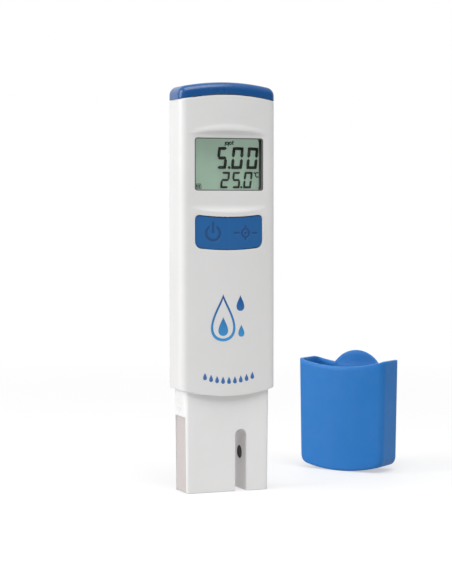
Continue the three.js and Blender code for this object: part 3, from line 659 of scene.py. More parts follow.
# An opening's outline as four lines, from corner middle to corner middle: bottom, right, top, left.
def fourSides(corners, bottom=noLine, top=noLine):
    half = len(corners[0]) // 2
    pairs = zip(corners, (bottom, noLine, top, noLine), corners[1:] + corners[:1])
    return [np.concatenate((a[half:], edge[1:-1], b[:half + 1])) for a, edge, b in pairs]


def padSides(grow):
    p = keyPad
    x, low, high = p["halfWidth"] + grow, p["bottom"] - grow + p["bulge"], p["top"] + grow
    c, k = p["bottomCorner"], p["topCorner"]
    corners = [bend((-x, low + c), (-x, low), (-x + c, low), 16), bend((x - c, low), (x, low), (x, low + c), 16),
               bend((x, high - k), (x, high), (x - k, high), 16),
               bend((-x + k, high), (-x, high), (-x, high - k), 16)]
    return fourSides(corners, bend((-x + c, low), (0, low - 2 * p["bulge"]), (x - c, low), 40),
                     bend((x - k, high), (0, high - 2 * p["dip"]), (-x + k, high), 40))


def windowSides(w):
    x, z0, z1, r = w["halfWidth"], w["bottom"], w["top"], w["corner"]
    corner = lambda cx, cz, start: arc(w["middle"] + cx, cz, r, start, start + 90, 12)
    return fourSides([corner(-x + r, z0 + r, 180), corner(x - r, z0 + r, 270), corner(x - r, z1 - r, 0),
                      corner(-x + r, z1 - r, 90)])


# A picture-frame grid on the crown: rings that run from a rectangle in to an opening, point by point.
def frameGrid(sides, low, high, across, up):
    x = caseFront["frontHalf"]
    inner = loop(*[even(side, steps) for side, steps in zip(sides, (across, up, across, up))])
    outer = loop(line((-x, low), (x, low), across), line((x, low), (x, high), up),
                 line((x, high), (-x, high), across), line((-x, high), (-x, low), up))
    t = np.linspace(0, 1, caseFront["rings"] + 1)[:, None, None]
    flat = outer + (inner - outer) * t
    return np.stack([flat[..., 0], crown(flat[..., 0]), flat[..., 1]], -1)


# Rounds the shell's sharp edges: those of the foot widely, and every other one finely.
def easeShell(piece, fine, foot):
    work = bmesh.new()
    work.from_mesh(piece.data)
    weight = work.edges.layers.float.new("bevel_weight_edge")
    for edge in work.edges:
        if len(edge.link_faces) == 2 and edge.calc_face_angle(0) > math.radians(caseFront["sharp"]):
            middle = (edge.verts[0].co + edge.verts[1].co) / 2 / mm
            edge[weight] = 1 if middle.z < footArch(middle.x) + 0.05 else fine / foot
    work.to_mesh(piece.data)
    work.free()
    modify(piece, "BEVEL", width=foot * mm, segments=3, limit_method="WEIGHT", harden_normals=True)
    settle(piece)


# The end walls inside the case, each a closed ring of four loops: the lower one has the neck's hole.
def makeBulkheads():
    p = bulkhead
    outer = rounded(*p["wall"])
    neckHole, vent = slab(*p["neck"], steps=6), slab(*p["vent"], steps=6)
    flat = lambda z: (lambda x: np.full_like(x, z))
    under, over = (lambda x: footArch(x) + p["gap"]), (lambda x: seamArch(x) - p["gap"])
    walls = [[(outer, under), (outer, flat(p["low"])), (neckHole, flat(p["low"])), (neckHole, under)],
             [(outer, flat(p["high"])), (outer, over), (vent, over), (vent, flat(p["high"]))]]
    return [weave("plate", [(np.stack([atHeightOf(ring, z) for ring, z in wall]), True, True)], "whiteCase")
            for wall in walls]


def makeCaseFront():
    p = caseFront
    x, n, rows = p["frontHalf"], p["columns"], p["rows"]
    rimTurn = math.degrees(math.asin((p["rimY"] - backCornerY) / body["backCorner"]))
    ends = np.linspace(-crownEnd, -x, 5)[1:]
    left = np.concatenate([arc(-backCornerX, backCornerY, body["backCorner"], 180 - rimTurn, 180, 4)[:-1],
                           line((-body["halfWidth"], backCornerY), (-body["halfWidth"], cornerY), 8)[:-1],
                           arc(-cornerX, cornerY, body["corner"], 180, 270 - crownTilt, 16),
                           np.stack([ends, crown(ends)], -1)])
    front = np.stack([np.linspace(-x, x, n + 1), crown(np.linspace(-x, x, n + 1))], -1)

    # Rows over each column of a plan, from the foot's arch to the seam's, through the named zones.
    def rise(plan, zones):
        foot, seam = footArch(plan[:, 0]), seamArch(plan[:, 0])
        levels = dict(low=(foot, p["lowZone"]), pad=(p["lowZone"], p["middleZone"]),
                      window=(p["middleZone"], p["topZone"]), top=(p["topZone"], seam))
        parts = []
        for zone in zones:
            start, end = levels[zone]
            t = np.linspace(0, 1, rows[zone] + 1)[:, None]
            parts.append(start + (end - start) * t + 0 * foot)
        z = np.concatenate([part[:-1] for part in parts[:-1]] + parts[-1:])
        return np.concatenate([np.broadcast_to(plan, (len(z), *plan.shape)), z[..., None]], -1)

    grids = [rise(left, rows), rise(left[::-1] * (-1, 1), rows), rise(front, ["low"]), rise(front, ["top"]),
             frameGrid(padSides(keyPad["gap"]), p["lowZone"], p["middleZone"], n, rows["pad"]),
             frameGrid(windowSides(p["window"]), p["middleZone"], p["topZone"], n, rows["window"])]
    closes = [False] * 4 + [True] * 2
    piece = weave("caseFront", [(sink(g), False, c) for g, c in zip(grids, closes)], "whiteCase", outward=False)
    modify(piece, "SOLIDIFY", thickness=p["skin"] * mm, offset=-1, use_even_offset=True)
    settle(piece)
    easeShell(piece, p["edge"], p["footEdge"])
    return joined(piece, makeBulkheads())


place(makeCaseFront(), "case", "case_white", "front_housing", angle=30)
print("case front made")

rearCover = dict(frontY=5.9, edge=0.35, middleY=7.2, doorZ=82, seat=6.9, seatRadius=14.3, bore=12.3,
                 boreEnds=(5, 9), wellInner=13.4, well=14.6, wellFoot=1.7, wellTop=6.0,
                 screws=((-12.9, 147), (12.9, 147), (-12.9, 52), (12.9, 52)), headSink=6.8, headRadius=2.4,
                 holeRadius=1.3, holeEnds=(5, 8), scallopZ=31.3, scallopRadius=12.8, scallopY=7.2)


def backRing(inset=0.0):
    r = body["backCorner"] - inset
    turn = math.degrees(math.asin((rearCover["frontY"] + inset - backCornerY) / r))
    right = arc(backCornerX, backCornerY, r, turn, 90, 12)
    left = arc(-backCornerX, backCornerY, r, 90, 180 - turn, 12)
    return loop(right, line(right[-1], left[0], 64), left, line(left[-1], right[0], 64))


# A cutter for a round sinking: straight down to its floor, with a mouth that flares over the edge.
def sinking(x, z, radius, floor, flare):
    mouth = body["back"]
    edge = arc(mouth - flare, radius + flare, flare, -90, 0, 5)
    profile = [(floor, 0), (floor, radius), *edge.tolist(), (mouth + 2, radius + flare), (mouth + 2, 0)]
    return turned("sinking", profile, (x, 0, z), "y", "whiteCase", 96)


def makeRearCover():
    p = rearCover
    door = (0, 0, p["doorZ"])
    piece = archSolid("rearCover", backRing, footArch, seamArch, "whiteCase", p["edge"], p["edge"], 40,
                      (0, p["middleY"]))
    cuts = [sinking(0, p["doorZ"], p["seatRadius"], p["seat"], 0.25),
            drum("bore", *p["boreEnds"], p["bore"], door, "y", "whiteCase", 96),
            sinking(0, p["scallopZ"], p["scallopRadius"], p["scallopY"], 0.3)]
    for x, z in p["screws"]:
        cuts += [sinking(x, z, p["headRadius"], p["headSink"], 0.2),
                 drum("hole", *p["holeEnds"], p["holeRadius"], (x, 0, z), "y", "whiteCase", 32)]
    carve(piece, *cuts)
    foot, top, inner, outer = p["wellFoot"], p["wellTop"], p["wellInner"], p["well"]
    well = [(foot, inner), (foot, outer), (top, outer), (top, inner), (foot, inner)]
    return joined(piece, [turned("well", well, door, "y", "whiteCase")])


place(makeRearCover(), "case", "case_white", "rear_cover", angle=30, weigh=True)
print("rear cover made")

endCap = dict(lowGap=0.15, lowEdge=0.3, highEdge=2.7, pegX=10, pegRadius=1.5, pegFoot=151.0, pegTop=157)


def makeEndCap():
    p = endCap
    low = body["seam"] + p["lowGap"]
    piece = archSolid("endCap", bodyRing, arch(low, body["topRadius"]),
                      arch(body["top"], body["topRadius"] + body["top"] - low), "blueTop", p["lowEdge"],
                      p["highEdge"], 4)
    profile = easeProfile([(p["pegFoot"], 0), (p["pegFoot"], p["pegRadius"]), (p["pegTop"], p["pegRadius"]),
                           (p["pegTop"], 0)], 0.3)
    return joined(piece, [turned("peg", profile, (x, 0, 0), "z", "blueTop", 24) for x in (-p["pegX"], p["pegX"])])


place(makeEndCap(), "case", "top_blue", "top_cap", angle=40)
print("end cap made")

displayWindow = dict(front=-7.6, middle=0.2, halfWidth=13.9, bottom=118.2, top=138.1, corner=0.8, edge=0.18,
                     flangeHalf=16, flangeBottom=116.1, flangeTop=140.2, flangeCorner=0.6, flangeEdge=0.1,
                     flangeFront=-5.9, flangeBack=-5.0)
lining = dict(lapX=0.15, lapZ=0.12, clear=0.02, sunk=0.06)


def makeDisplayWindow():
    p = displayWindow
    middle, half = (p["middle"], (p["bottom"] + p["top"]) / 2), (p["top"] - p["bottom"]) / 2
    lens = lambda inset, y: atDepth(slab(p["halfWidth"], half, p["corner"], inset, 8, middle), y)
    flange = lambda inset, y: atDepth(rounded(-p["flangeHalf"] + inset, p["flangeHalf"] - inset,
                                              p["flangeBottom"] + inset, p["flangeTop"] - inset,
                                              p["flangeCorner"], 8), y)
    e, front, back = p["flangeEdge"], p["flangeFront"], p["flangeBack"]
    loops = [lens(p["edge"] * (1 - math.sin(a)), p["front"] + p["edge"] * (1 - math.cos(a)))
             for a in np.radians(np.linspace(0, 90, 5))]
    loops += [lens(0, front), flange(e, front), flange(0, front + e), flange(0, back - e), flange(e, back)]
    return stacked("displayWindow", loops, "clearWindow")


# The grey lining between the window and the case: a closed band of four loops.
def makeWindowLining():
    p, w, q = displayWindow, caseFront["window"], lining
    inner, outer = [rounded(w["middle"] - half, w["middle"] + half, low, high, r, 8) for half, low, high, r in
                    ((p["halfWidth"] - q["lapX"], p["bottom"] + q["lapZ"], p["top"] - q["lapZ"], p["corner"]),
                     (w["halfWidth"] - q["clear"], w["bottom"] + q["clear"], w["top"] - q["clear"], w["corner"]))]
    y0, y1 = p["front"] + q["sunk"], p["flangeFront"] - q["clear"]
    grid = np.stack([atDepth(ring, y) for ring, y in ((inner, y0), (outer, y0), (outer, y1), (inner, y1))])
    return weave("windowLining", [(grid, True, True)], "liningGrey")


place(makeDisplayWindow(), "case", "window_clear", "display_window", angle=30)
place(makeWindowLining(), "case", "gasket_foam", angle=40)

# The figures lie between the two glasses. Each is (character, left, bottom, width, height, stroke), each
# point (x, z, radius), each bar (from, to, width, point), each ring a ringSheet.
figures = dict(front=-2.46, back=-2.36, lean=0.10, shift=-0.42,
               figures=[("5", -3.1, 126.45, 5.05, 8.5, 1.2), ("0", 3.0, 126.45, 5.55, 8.5, 1.2),
                        ("0", 9.35, 126.45, 5.3, 8.5, 1.2), ("2", -1.5, 119.05, 4.25, 6.4, 0.88),
                        ("5", 3.3, 119.05, 4.1, 6.4, 0.88), ("0", 8.1, 119.05, 4.1, 6.4, 0.88)],
               points=[(2.35, 127.05, 0.58), (7.45, 119.5, 0.46)],
               unitBars=[((0.6, 135.2), (0.78, 136.95), 0.36, 0.3), ((2.0, 135.2), (2.18, 136.95), 0.36, 0.3),
                         ((3.72, 135.9), (3.96, 137.45), 0.38, 0.3), ((3.4, 136.85), (4.55, 136.85), 0.33, 0.5),
                         ((3.7, 135.95), (4.3, 135.95), 0.33, 0.5)],
               unitRings=[((1.45, 136.35), 0.25, 0.59, 0, 360, 1.15, 16),
                          ((2.85, 136.35), 0.25, 0.59, 0, 360, 1.15, 16),
                          ((14.05, 124.25), 0.56, 0.94, 50, 310, 1.2, 16), ((12.9, 125.0), 0.14, 0.4)],
               cell=dict(left=-11.6, right=-9.35, low=118.95, high=120.6, line=0.2, charge=0.36, inset=0.25,
                         bars=(0.5, 1.1, 1.7), tip=0.2, tipInset=0.45, tipWidth=0.24))
segments = {"0": "abcdef", "2": "abged", "5": "afgcd"}


# A flat bar from a to b with pointed ends: four stations along it, two across.
def bar(a, b, width, point=0.5):
    a, b = np.array(a, float), np.array(b, float)
    length = np.linalg.norm(b - a)
    along = (b - a) / length
    side = np.array([-along[1], along[0]])
    spine = a + along * np.array([0, point * width, length - point * width, length])[:, None]
    half = (np.array([0.12, 1, 1, 0.12]) * width / 2)[:, None]
    return np.stack([spine - side * half, spine + side * half])


# A disc, a ring or a part of one, drawn flat: rows from the inner to the outer radius.
def ringSheet(centre, inner, outer, start=0, end=360, tall=1.0, steps=24):
    turn = np.radians(np.linspace(start, end, steps + 1))
    circle = np.stack([np.cos(turn), np.sin(turn) * tall], -1)
    return np.stack([np.array(centre) + circle * r for r in (inner, outer)])


# The bars of one seven-segment character: they run together at the corners, and upright ones part at
# mid height. Then it leans.
def character(name, x, z, width, height, stroke):
    s, g, lean = stroke, stroke * 0.18, figures["lean"]
    l, r, low, top = x + s / 2, x + width - s / 2 - height * lean, z + s / 2, z + height - s / 2
    mid = z + height / 2
    places = dict(a=((l, top), (r, top)), g=((l - g, mid), (r + g, mid)), d=((l, low), (r, low)),
                  f=((l, mid + g), (l, top)), b=((r, mid + g), (r, top)), e=((l, low), (l, mid - g)),
                  c=((r, low), (r, mid - g)))
    corners = {"af": (l, top), "ab": (r, top), "de": (l, low), "cd": (r, low)}
    parts = [bar(*places[k], s) for k in segments[name]]
    parts += [ringSheet(at, 0, s * 0.47) for pair, at in corners.items() if set(pair) <= set(segments[name])]
    return [np.stack([part[..., 0] + (part[..., 1] - z) * lean, part[..., 1]], -1) for part in parts]


# A small cell icon: an outline, its tip, and three charge bars.
def cellIcon(left, right, low, high, line, charge, inset, bars, tip, tipInset, tipWidth):
    edges = [((left, low), (right, low)), ((left, high), (right, high)), ((left, low), (left, high)),
             ((right, low), (right, high))]
    return [bar(a, b, line, 0.1) for a, b in edges] + \
        [bar((left + x, low + inset), (left + x, high - inset), charge, 0.05) for x in bars] + \
        [bar((left - tip, low + tipInset), (left - tip, high - tipInset), tipWidth, 0.1)]


# Flat sheets in x and z as thin pads between two depths, each depth a function of x.
def thinPads(name, sheets, front, back, finish):
    lift = lambda flat, depth: np.stack([flat[..., 0], depth(flat[..., 0]), flat[..., 1]], -1)
    grids = [part for flat in sheets for part in pillow(lift(flat, front), lift(flat, back))]
    return weave(name, grids, finish, weld=0.0005)


def makeFigures():
    p = figures
    flats = [part for figure in p["figures"] for part in character(*figure)]
    flats += [ringSheet((x, z), 0, r) for x, z, r in p["points"]]
    flats += [ringSheet(*ring) for ring in p["unitRings"]] + [bar(*b) for b in p["unitBars"]]
    flats += cellIcon(**p["cell"])
    level = lambda y: (lambda x: np.full_like(x, y))
    return thinPads("displayFigures", [flat + (p["shift"], 0) for flat in flats], level(p["front"]),
                    level(p["back"]), "segmentInk")


place(makeFigures(), "case", "chip_black", angle=20)
print("display made")

powerMark = dict(x=-6.6, z=101.35, radius=2.8, stroke=1.0, barTop=4.1, barFoot=0.4, gap=0.9)
calibrateMark = dict(x=6.95, z=101.4, radius=1.55, stroke=0.8, reach=4.7, start=2.9, tick=2.6, dot=0.55)


# Signed distance to a straight stroke with round ends.
def strokeDistance(x, z, a, b, width):
    ax, az, bx, bz = *a, *b
    t = np.clip(((x - ax) * (bx - ax) + (z - az) * (bz - az)) / ((bx - ax) ** 2 + (bz - az) ** 2), 0, 1)
    return np.hypot(x - ax - t * (bx - ax), z - az - t * (bz - az)) - width / 2


# The power mark: a ring left open at the top, and an upright bar in the opening.
def powerDistance(x, z):
    p = powerMark
    ring = np.abs(np.hypot(x - p["x"], z - p["z"]) - p["radius"]) - p["stroke"] / 2
    opening = np.where(z > p["z"], p["gap"] + p["stroke"] / 2 - np.abs(x - p["x"]), -1)
    upright = strokeDistance(x, z, (p["x"], p["z"] + p["barFoot"]), (p["x"], p["z"] + p["barTop"]), p["stroke"])
    return np.minimum(np.maximum(ring, opening), upright)


# The calibration mark: a small target with a bar on each side and a tick above and below.
def calibrateDistance(x, z):
    p = calibrateMark
    cx, cz, s = p["x"], p["z"], p["stroke"]
    away = np.hypot(x - cx, z - cz)
    parts = [np.abs(away - p["radius"]) - s / 2, away - p["dot"]]
    for side in (-1, 1):
        parts += [strokeDistance(x, z, (cx + side * p["start"], cz), (cx + side * p["reach"], cz), s),
                  strokeDistance(x, z, (cx, cz + side * p["radius"]), (cx, cz + side * p["tick"]), s)]
    return np.min(parts, axis=0)


# Half of the pad: columns from its end to the middle and rows between its two curved edges, both
# crowded towards the rim, where the surface rolls over. A post behind it presses the plunger.
def makeKey(name, side, distance):
    p = keyPad
    w = p["halfWidth"] + p["grow"]
    bottom, right, top, left = padSides(p["grow"])
    lower = np.concatenate([left[-9:], bottom[1:], right[1:9]])
    upper = np.concatenate([right[-9:], top[1:], left[1:9]])[::-1]
    x = side * w * np.cos(np.linspace(0, math.pi / 2, p["columns"] + 1))[::side]
    z0, z1 = (np.interp(x, edge[:, 0], edge[:, 1]) for edge in (lower, upper))
    v = (0.5 - 0.5 * np.cos(np.linspace(0, math.pi, p["rows"] + 1)))[:, None]
    z = z0 + (z1 - z0) * v
    xx = np.broadcast_to(x, z.shape)
    lean = lambda edge: 1 / np.sqrt(1 + np.gradient(edge, x) ** 2)
    rim = np.minimum(np.minimum(w - np.abs(xx), (z1 - z) * lean(z1)), (z - z0) * lean(z0))
    mark = 1 - smoothStep(distance(xx, z), -p["soft"], p["soft"])
    roll = p["edge"] - np.sqrt(np.maximum(0, p["edge"] ** 2 - (p["edge"] - np.clip(rim, 0, p["edge"])) ** 2))
    y = crown(xx) + p["sunk"] + roll + p["recess"] * mark
    back = np.stack([xx, np.full_like(y, p["back"]), z], -1)
    piece = weave(name, pillow(np.stack([xx, y, z], -1), back), "blueKeys", weld=0.0004)
    spots = np.zeros(len(piece.data.vertices) * 3)
    piece.data.vertices.foreach_get("co", spots)
    spots = spots.reshape(-1, 3) / mm
    shownAt = 1 - smoothStep(distance(spots[:, 0], spots[:, 2]), -p["blur"], p["blur"])
    legend = piece.data.attributes.new("legend", "FLOAT", "POINT")
    legend.data.foreach_set("value", np.where(spots[:, 1] < -7, shownAt, 0).astype(np.float32))
    start, end, r = p["back"] - 0.2, p["postEnd"], p["post"]
    post = easeProfile([(start, 0), (start, r), (end, r), (end, 0)], 0.2)
    return joined(piece, [turned("post", post, (side * p["postX"], 0, p["postZ"]), "y", "blueKeys", 24)])


for name, side, distance, node, button in (
        ("powerKey", -1, powerDistance, "power_key", "power_button"),
        ("calibrateKey", 1, calibrateDistance, "calibrate_key", "calibrate_button")):
    key = shade(makeKey(name, side, distance), 40)
    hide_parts(node)
    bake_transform(key)
print("keys made")

# Printed marks lie in the skin of the crown. A drop is (x, z, width, height).
printed = dict(proud=0.03, sunk=0.08, outline=(-2.6, 68.6, 11.2, 18.5, 1.05),
               drops=[(-2.6, 65.2, 4.4, 7.4), (4.6, 74.2, 3.6, 6.2), (5.0, 63.4, 2.8, 4.8)],
               legend=dict(reach=9.9, shift=-0.2, count=9, middle=44.1, curve=0.0175, width=1.7, height=2.9))


# Half a drop's width over t: it is widest below its middle and runs to a point above.
def dropHalf(width, t):
    return width / 2 * np.sin(t) * np.abs(np.sin(t / 2)) ** 1.6 / 0.76


# A filled drop: rows run down it from the tip, columns across it.
def dropSheet(x, z, width, height, rows=28, cols=10):
    t = np.linspace(0.02, math.pi - 0.02, rows)[:, None]
    across = np.linspace(-1, 1, cols)
    return np.stack([x + dropHalf(width, t) * across, z + height / 2 * np.cos(t) + 0 * across], -1)


# An outlined drop: a band between two drops, from one side of the tip round to the other.
def dropBand(x, z, width, height, stroke, steps=64):
    t = np.linspace(0, 2 * math.pi, steps + 1)
    return np.stack([np.stack([x + dropHalf(width - 2 * stroke * grow, t), z - stroke * 0.25 * grow +
                               (height - 2.6 * stroke * grow) / 2 * np.cos(t)], -1) for grow in (0, 1)])


def printMarks(name, sheets, finish):
    piece = thinPads(name, sheets, lambda x: crown(x) - printed["proud"], lambda x: crown(x) + printed["sunk"],
                     finish)
    place(piece, "case", "top_blue", angle=40)


printMarks("dropEmblem", [dropBand(*printed["outline"])] + [dropSheet(*drop) for drop in printed["drops"]],
           "emblemInk")
row = printed["legend"]
places = np.linspace(-row["reach"], row["reach"], row["count"]) + row["shift"]
printMarks("dropLegend", [dropSheet(x, row["middle"] + row["curve"] * x ** 2, row["width"], row["height"], 16, 6)
                          for x in places], "legendInk")
print("printed marks made")


probe = dict(halfWidth=17.4, halfDepth=6.3, topHalfWidth=17.7, topHalfDepth=6.5, corner=1.6, top=38,
             shoulder=38.4, shoulderRadius=72.6, edge=0.35, topEdge=0.3, roomHalf=16.4, roomDepth=5.3,
             roomCorner=0.8, roomEnds=(-2, 36), windowDepth=5.75, windowEnds=(-2, 30), windowCorner=0.5,
             windowReach=(15.5, 22), soft=0.14, liner=0.2, inset=0.1, domeX=16.75, domeZ=33.4,
             dome=[(0, 2.1), (0.35, 2.05), (0.8, 1.7), (1.1, 1.0), (1.2, 0)])
slot = dict(left=3.2, right=8.0, top=24.4, foot=-3, reach=9)
neck = dict(halfWidth=12.7, halfDepth=3.7, corner=0.5, foot=36.2, top=48, grooveDepth=0.9, slope=0.05,
            edge=0.3, grooves=[(39.4, 41.2), (43.6, 45.9)])
core = dict(halfWidth=16.1, halfDepth=5.0, top=32, corner=0.5, edge=0.3, soft=0.1, cheek=16.8, cheekStart=15.9,
            cheekDepth=5.6, cheekFoot=0.3, cheekTop=29.85, cheekCorner=0.6, cheekEdge=0.15, gap=0.02)
electrode = dict(radius=2.6, y=1.3, z=14.5, length=4.5, edge=0.15, dish=0.05, land=0.45, room=0.05, wall=0.03)
sensor = dict(z=8, start=14.2, wellRadius=1.8, wellStart=13.9, mouth=16.2, mouthRadius=2.7,
              profile=[(14.2, 0), (14.2, 1.4), (14.3, 1.5), (15.6, 1.5), (15.95, 1.42), (16.2, 1.15),
                       (16.35, 0.6), (16.4, 0)])


# The slot's outline in x and z, round at the top and open below the foot, widened by grow.
def slotLoop(grow=0.0):
    middle, half = (slot["left"] + slot["right"]) / 2, (slot["right"] - slot["left"]) / 2
    r, z, foot = half + grow, slot["top"] - half, slot["foot"]
    return np.concatenate([line((middle + r, foot), (middle + r, z), 4)[:-1], arc(middle, z, r, 0, 180, 28),
                           line((middle - r, z), (middle - r, foot), 4)[1:]])


def slotCutter(grow):
    return stacked("slotCutter", [atDepth(slotLoop(grow), y) for y in (-slot["reach"], slot["reach"])],
                   "whiteProbe")


# The neck: a bar with two square grooves, for the ring seal and the fork.
def makeNeck():
    n, g = neck, neck["grooveDepth"]
    steps = [(0, n["foot"])]
    for low, high in n["grooves"]:
        steps += [(0, low), (g, low + n["slope"]), (g, high - n["slope"]), (0, high)]
    steps += [(0, n["top"] - n["edge"]), (n["edge"], n["top"])]
    return stacked("neck", [atHeight(rounded(-n["halfWidth"] + inset, n["halfWidth"] - inset,
                                             -n["halfDepth"] + inset, n["halfDepth"] - inset, n["corner"], 6), z)
                            for inset, z in steps], "whiteProbe")


# The sleeve widens a little from its foot to its shoulder, and has a room inside for the core.
def makeProbeSleeve():
    p = probe
    growth = np.array([p["topHalfWidth"] / p["halfWidth"] - 1, p["topHalfDepth"] / p["halfDepth"] - 1, 0])
    piece = archSolid("probeSleeve", lambda inset: slab(p["halfWidth"], p["halfDepth"], p["corner"], inset),
                      lambda x: 0 * x, arch(p["shoulder"], p["shoulderRadius"], -1), "whiteProbe", p["edge"],
                      p["topEdge"], 2, taper=lambda grid: grid * (1 + grid[..., 2:] / p["top"] * growth))
    room = slab(p["roomHalf"], p["roomDepth"], p["roomCorner"])
    cuts = [stacked("room", [atHeight(room, z) for z in p["roomEnds"]], "whiteProbe"), slotCutter(p["liner"])]
    window = rounded(-p["windowDepth"], p["windowDepth"], *p["windowEnds"], p["windowCorner"], 8)
    for side in (-1, 1):
        cuts.append(stacked("window", [atX(window, x) for x in sorted(side * x for x in p["windowReach"])],
                            "whiteProbe"))
    carve(piece, *cuts)
    soften(piece, p["soft"], 3, 40)
    domes = [turned("detent", [(side * (p["domeX"] + x), r) for x, r in p["dome"]], (0, 0, p["domeZ"]), "x",
                    "whiteProbe", 40) for side in (-1, 1)]
    return joined(piece, [makeNeck(), *domes])


# A thin band that lines the slot from face to face, pierced for the electrodes. Its finish glows faintly: painted
# light.
def makeSlotLiner():
    p, e = probe, electrode
    rings = [slotLoop(grow)[2:-2] for grow in (0, p["liner"])]
    for ring in rings:
        ring[[0, -1], 1] = 0
    deep = lambda ring: p["halfDepth"] + (p["topHalfDepth"] - p["halfDepth"]) * ring[:, 1] / p["top"] - p["inset"]
    corner = lambda ring, side: np.stack([ring[:, 0], side * deep(ring), ring[:, 1]], -1)
    section = np.stack([corner(rings[0], -1), corner(rings[1], -1), corner(rings[1], 1), corner(rings[0], 1)], 1)
    return carve(stacked("slotLiner", section, "slotGrey"),
                 drum("bore", 0, 11, e["radius"] + e["wall"], (0, e["y"], e["z"]), "x", "slotGrey", 48))


# The inner moulding: a block with a cheek that fills each side window. Holes run along x into it for
# the electrodes and the temperature sensor.
def makeSensorCore():
    p, e, s = core, electrode, sensor
    piece = archSolid("sensorCore", lambda inset: slab(p["halfWidth"], p["halfDepth"], p["corner"], inset, 6),
                      lambda x: 0 * x, lambda x: 0 * x + p["top"], "warmCore", p["edge"], p["edge"], 2)
    for side in (-1, 1):
        cheek = rounded(-p["cheekDepth"], p["cheekDepth"], p["cheekFoot"], p["cheekTop"], p["cheekCorner"], 6)
        middle = cheek.mean(0)
        shape = [atX(middle + (cheek - middle) * (1 - inset / 8), side * x) for x, inset in
                 ((p["cheekStart"], 0), (p["cheek"] - p["cheekEdge"], 0), (p["cheek"], p["cheekEdge"]))]
        carve(piece, stacked("cheek", shape, "warmCore"), how="UNION")
    bores = [(slot["left"] - 5, slot["left"] + 1, e["radius"] + e["room"], (0, e["y"], e["z"])),
             (slot["right"] - 1, slot["right"] + 5, e["radius"] + e["room"], (0, e["y"], e["z"])),
             (s["wellStart"], s["mouth"], s["wellRadius"], (0, 0, s["z"])),
             (s["mouth"] - 0.1, 18, s["mouthRadius"], (0, 0, s["z"]))]
    carve(piece, slotCutter(probe["liner"] + p["gap"]), *[drum("bore", *b, "x", "warmCore", 48) for b in bores])
    return soften(piece, p["soft"], 2, 40)


# A graphite plug: its face is very slightly dished and its rim is eased.
def makeElectrode(name, face, inwards):
    p, r, end = electrode, electrode["radius"], electrode["length"]
    profile = [(p["dish"], 0), (p["dish"], r * 0.7), (0, r - p["land"]), (0, r - p["edge"]), (0.06, r - 0.06),
               (p["edge"], r), (end - 0.2, r), (end, r - 0.2), (end, 0)]
    return turned(name, [(face + inwards * along, radius) for along, radius in profile], (0, p["y"], p["z"]),
                  "x", "graphiteDisc")


place(makeProbeSleeve(), "case", "probe_white", "probe_sleeve", angle=30, weigh=True)
place(makeSlotLiner(), "case", "core_grey", angle=30)
place(makeSensorCore(), "case", "core_grey", "sensor_core", angle=30, weigh=True)
place(makeElectrode("electrodeLeft", slot["left"], -1), "case", "graphite", "electrode_left")
place(makeElectrode("electrodeRight", slot["right"], 1), "case", "graphite", "electrode_right")
place(turned("temperatureSensor", sensor["profile"], (0, 0, sensor["z"]), "x", "screwSteel", 48), "case",
      "steel", "temperature_sensor", angle=40)
print("probe made")

# The protective cap has the case's plan with tighter corners, and widens from its foot to its rim.
capShell = dict(x=71, y=33.8, turn=-52.65, rim=44.3, footRadius=68, sideEdge=3.0, faceEdge=1.0, edgeStart=12,
                edgeRun=8, wall=1.5, floor=5.4, rimEdge=0.35, floorEdge=0.9, tabRadius=12.4, tabTop=50.3,
                tabWall=1.05, tabY=5, corner=2.5, backCorner=3.4, narrow=0.976, draft=0.00088)


def capPlan(inset):
    return planRing(inset, capShell["corner"], capShell["backCorner"])


# The cap's plan drawn in by one amount at the sides and another at the front and back.
def capRing(insetX, insetY):
    low = min(insetX, insetY)
    return capPlan(low) * ((body["halfWidth"] - insetX) / (body["halfWidth"] - low),
                           (body["back"] - insetY) / (body["back"] - low))


# Height of the rim: it sags between the sides, and at the back a round tab stands above it.
def rimHeight(x, y):
    p = capShell
    low = arch(p["rim"], body["footRadius"], -1)(x)
    tab = p["tabTop"] - p["tabRadius"] + np.sqrt(np.maximum(0, p["tabRadius"] ** 2 - x ** 2))
    tab = np.where(np.abs(x) < p["tabRadius"], tab, 0)
    return np.where(y > p["tabY"], np.maximum(low, tab), low), low


